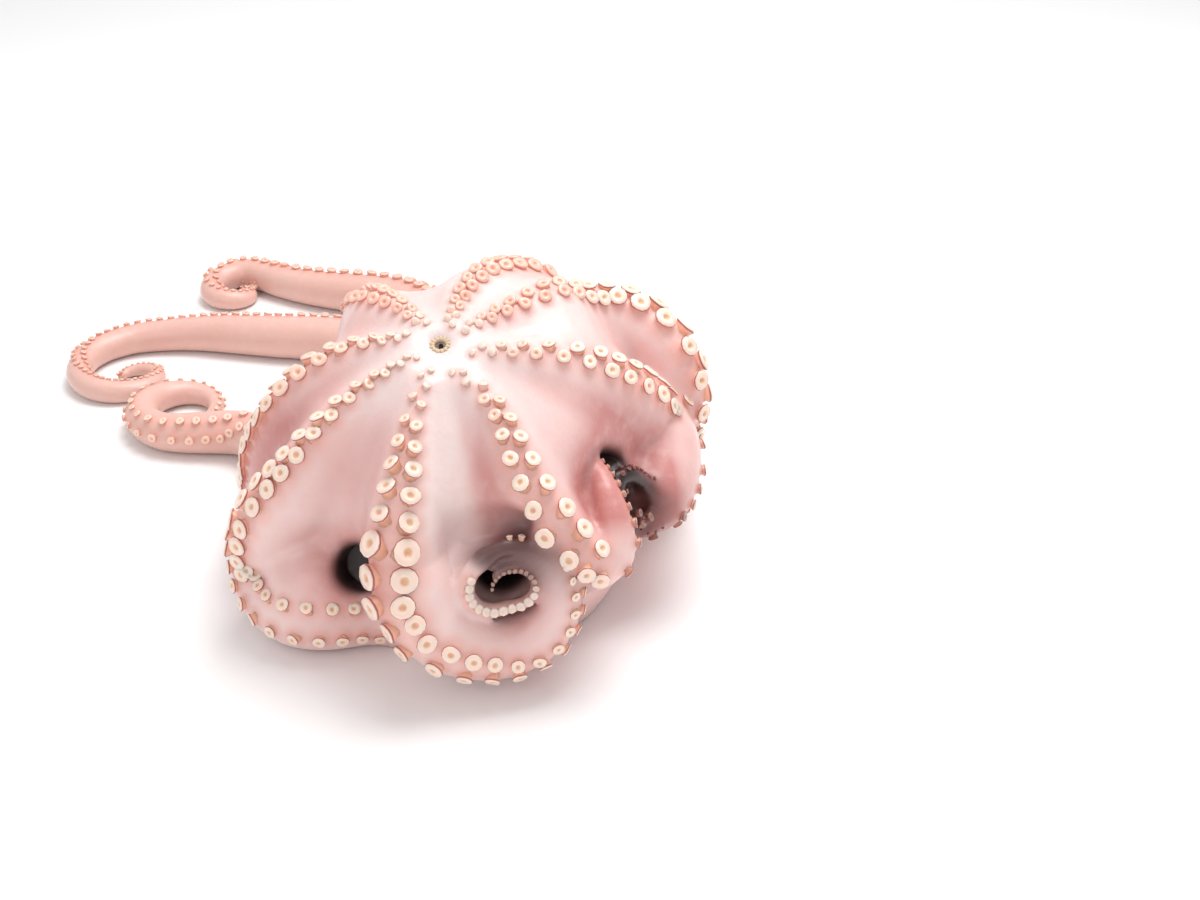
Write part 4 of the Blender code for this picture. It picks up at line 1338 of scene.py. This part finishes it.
def round_mouth(radius, angle, height):
    """A place round the mouth's axis."""
    return (MOUTH_PLACE + radius * (math.cos(angle) * ROUND_X + math.sin(angle) * ROUND_Y)
            + height * MOUTH_AXIS)


def ruffled_lip(around=78, across=8):
    """A closed band round the mouth that ripples as it goes."""
    shape = bmesh.new()
    rings = []
    for k in range(around):
        angle = math.tau * k / around
        ripple = math.sin(RUFFLES * angle)
        thick = LIP_THICKNESS * (1 + RUFFLE_SWELL * ripple)
        corners = []
        for j in range(across):
            turn = math.tau * j / across
            out = LIP_RADIUS + RUFFLE_WIDTH * ripple + thick * math.cos(turn)
            corners.append(shape.verts.new(round_mouth(out, angle, LIP_LEVEL + thick * math.sin(turn))))
        rings.append(corners)
    for first, second in zip(rings, rings[1:] + rings[:1]):
        for j in range(across):
            following = (j + 1) % across
            shape.faces.new((first[j], second[j], second[following], first[following]))
    bmesh.ops.recalc_face_normals(shape, faces=shape.faces)
    mesh = bpy.data.meshes.new("lips")
    shape.to_mesh(mesh)
    shape.free()
    mesh.shade_smooth()
    return add_piece("lips", mesh)


lips = ruffled_lip()
lips.data.materials.append(wet_material("lip", lambda tree: LIP_BEIGE, roughness=0.4, coat=0.3, bump=0.2,
                                        wrinkle_size=500.0, scatter=0.2))
print("lips with", len(lips.data.polygons), "faces")

# %% Beak
BEAK_LEVELS = 5
BEAK_SIDES = 10
BEAK_ASIDE, BEAK_LEAN = 2.0, 1.5                 # of its foot from the middle, and over it, in mm
BEAK_FOOT, BEAK_RISE = -5.5, 4.6                 # against the mouth's place, in mm
BEAK_RADIUS = 1.7 * MM
BEAK_POINT = 0.05 * MM
BEAK_ROUNDING = 0.7
HORN_BROWN = srgb(44, 28, 22)


def beak_tip(shape, side):
    """A curved horny cone that leans over the mouth from one side."""
    rings = []
    for level in range(BEAK_LEVELS):
        part = level / (BEAK_LEVELS - 1)
        aside = side * (BEAK_ASIDE - BEAK_LEAN * part ** 2) * MM
        middle = round_mouth(aside, math.pi / 2, (BEAK_FOOT + BEAK_RISE * part) * MM)
        reach = BEAK_RADIUS * (1 - part) ** BEAK_ROUNDING + BEAK_POINT
        rings.append([shape.verts.new(middle + reach * (math.cos(turn) * ROUND_X + math.sin(turn) * ROUND_Y))
                      for turn in np.arange(BEAK_SIDES) * math.tau / BEAK_SIDES])
    for first, second in zip(rings, rings[1:]):
        for j in range(BEAK_SIDES):
            following = (j + 1) % BEAK_SIDES
            shape.faces.new((first[j], first[following], second[following], second[j]))
    shape.faces.new(rings[-1])
    shape.faces.new(list(reversed(rings[0])))


beak_shape = bmesh.new()
for side in (1, -1):
    beak_tip(beak_shape, side)
bmesh.ops.recalc_face_normals(beak_shape, faces=beak_shape.faces)
beak_mesh = bpy.data.meshes.new("beak")
beak_shape.to_mesh(beak_mesh)
beak_shape.free()
beak_mesh.shade_smooth()
beak = add_piece("beak", beak_mesh)
beak.data.materials.append(wet_material("horn", lambda tree: HORN_BROWN, roughness=0.3, coat=0.3, bump=0.1,
                                        wrinkle_size=300.0, scatter=0.0))
print("beak with", len(beak_mesh.polygons), "faces")

# %% [markdown]
# ## Eyes
#
# The two eyes are on the head, behind the crown.  Each is a low dome in its bump, silvery, with
# the level dark slit that an octopus has for a pupil.  The dome is the top of a sphere, flattened
# and sunk into the skin.  Every corner says how far it is from the slit, and a ramp paints it.

# %% Domes with a slit
EYE_RADIUS = 7.5 * MM
EYE_SIDES = 24
EYE_TILTS = np.radians(np.linspace(6, 84, 8))    # of the dome's rings, from its top
EYE_WAY = (0.85, 0.1, 0.5)                       # outwards on the right
EYE_FLATNESS = 0.5
EYE_SINK = 0.55                                  # of the radius, into the skin
SLIT_SIZE = (0.62, 0.17)                         # half its length and height, of the radius
SEAT_SEARCH = 5                                  # mm from the bump's middle, where the search starts
SEAT_ROUNDS = 10
PUPIL = srgb(16, 14, 18)
IRIS = srgb(176, 160, 140)


def eye_dome(shape, slit_layer, bump, side):
    """One dome on the outer side of an eye bump; side is 1 on the right."""
    centre, _ = bump
    out = unit((side * EYE_WAY[0], *EYE_WAY[1:]))
    level = unit(np.cross((0.0, 0.0, 1.0), out))
    upright = np.cross(out, level)
    seat = np.array([centre + out * SEAT_SEARCH * MM])
    for _ in range(SEAT_ROUNDS):
        seat = seat - DAMPING * body_field(seat)[0][0] * out
    rings = []
    for tilt in EYE_TILTS:
        ring = []
        for turn in np.arange(EYE_SIDES) * math.tau / EYE_SIDES:
            across = EYE_RADIUS * math.sin(tilt) * math.cos(turn)
            rise = EYE_RADIUS * math.sin(tilt) * math.sin(turn)
            height = EYE_FLATNESS * EYE_RADIUS * (math.cos(tilt) - EYE_SINK)
            corner = shape.verts.new(seat[0] + across * level + rise * upright + height * out)
            corner[slit_layer] = math.hypot(across / (SLIT_SIZE[0] * EYE_RADIUS),
                                            rise / (SLIT_SIZE[1] * EYE_RADIUS))
            ring.append(corner)
        rings.append(ring)
    for first, second in zip(rings, rings[1:]):
        for j in range(EYE_SIDES):
            following = (j + 1) % EYE_SIDES
            shape.faces.new((first[j], second[j], second[following], first[following]))
    shape.faces.new(rings[0])
    shape.faces.new(list(reversed(rings[-1])))


def eye_colour(tree):
    """Dark where the slit's value is under one."""
    slit = add_node(tree, "ShaderNodeAttribute", attribute_name="slit").outputs["Fac"]
    ramp = add_node(tree, "ShaderNodeValToRGB", {"Fac": slit})
    for stop, position, colour in zip(ramp.color_ramp.elements, (0.8, 1.0), (PUPIL, IRIS)):
        stop.position, stop.color = position, colour
    return ramp.outputs[0]


eye_shape = bmesh.new()
slit_layer = eye_shape.verts.layers.float.new("slit")
for bump, side in zip(EYES, (-1, 1)):
    eye_dome(eye_shape, slit_layer, bump, side)
bmesh.ops.recalc_face_normals(eye_shape, faces=eye_shape.faces)
eye_mesh = bpy.data.meshes.new("eyes")
eye_shape.to_mesh(eye_mesh)
eye_shape.free()
eye_mesh.shade_smooth()
eyes = add_piece("eyes", eye_mesh)
eyes.data.materials.append(wet_material("eye", eye_colour, roughness=0.15, coat=0.8, bump=0.0,
                                        wrinkle_size=300.0, scatter=0.0))
print("eyes at", [np.round(bump[0] / MM).tolist() for bump in EYES])

# %% [markdown]
# ## Light and floor
#
# Seafood is shown in soft, nearly shadowless light on white.  The surroundings are a white world,
# a large softbox above gives the wet highlights, and a weaker one in front fills the folds.

# %% Light
OBJECT_MIDDLE = (0, 0, 0.05)
WORLD_STRENGTH = 0.65


def softbox(name, place, size, power):
    """A rectangle of light that looks at the middle of the object."""
    light = bpy.data.objects.new(name, bpy.data.lights.new(name, "AREA"))
    light.data.shape = "RECTANGLE"
    light.data.size, light.data.size_y = size
    light.data.energy = power
    light.location = place
    light.rotation_euler = (Vector(place) - Vector(OBJECT_MIDDLE)).to_track_quat("Z", "Y").to_euler()
    bpy.context.scene.collection.objects.link(light)
    return light


softbox("window above", place=(0.25, 0.35, 1.3), size=(1.0, 0.9), power=17)
softbox("window in front", place=(-0.5, -1.2, 0.9), size=(0.9, 0.7), power=3)
world = bpy.data.worlds.new("white")
world.use_nodes = True
world.node_tree.nodes["Background"].inputs["Color"].default_value = (1, 1, 1, 1)
world.node_tree.nodes["Background"].inputs["Strength"].default_value = WORLD_STRENGTH
bpy.context.scene.world = world
bpy.context.scene.view_settings.view_transform = "Standard"
print("two softboxes and a white world")

# %% Floor
FLOOR_HALF = 6
FLOOR_LEVEL = -0.3 * MM                          # a hair under the flesh

floor_mesh = bpy.data.meshes.new("floor")
floor_mesh.from_pydata([(x * FLOOR_HALF, y * FLOOR_HALF, FLOOR_LEVEL)
                        for x, y in ((-1, -1), (1, -1), (1, 1), (-1, 1))], [], [(0, 1, 2, 3)])
floor = add_piece("floor", floor_mesh)
floor_material = bpy.data.materials.new("white table")
floor_material.use_nodes = True
floor_shader = floor_material.node_tree.nodes["Principled BSDF"]
floor_shader.inputs["Base Color"].default_value = (0.95, 0.95, 0.95, 1)
floor_shader.inputs["Roughness"].default_value = 0.7
floor.data.materials.append(floor_material)
floor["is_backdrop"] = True
print("a white table, %d m wide" % (2 * FLOOR_HALF))

# %% [markdown]
# ## Attach the pieces
#
# Every piece rides on the one body of the part, and the skin stands for the imported solid.

# %% Pieces of the part
for piece, slot_name in ((skin, "flesh"), (large_ones, "suckers"), (small_ones, "suckers"),
                         (lips, "flesh"), (beak, "beak"), (eyes, "beak")):
    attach(piece, "root")
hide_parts("octopus")

look_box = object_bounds()
sizes = {"cad": np.array(cad_box).tolist(), "look": np.array(look_box).tolist()}
for key, box in sizes.items():
    print(key, np.round(np.array(box) / MM, 1).tolist())
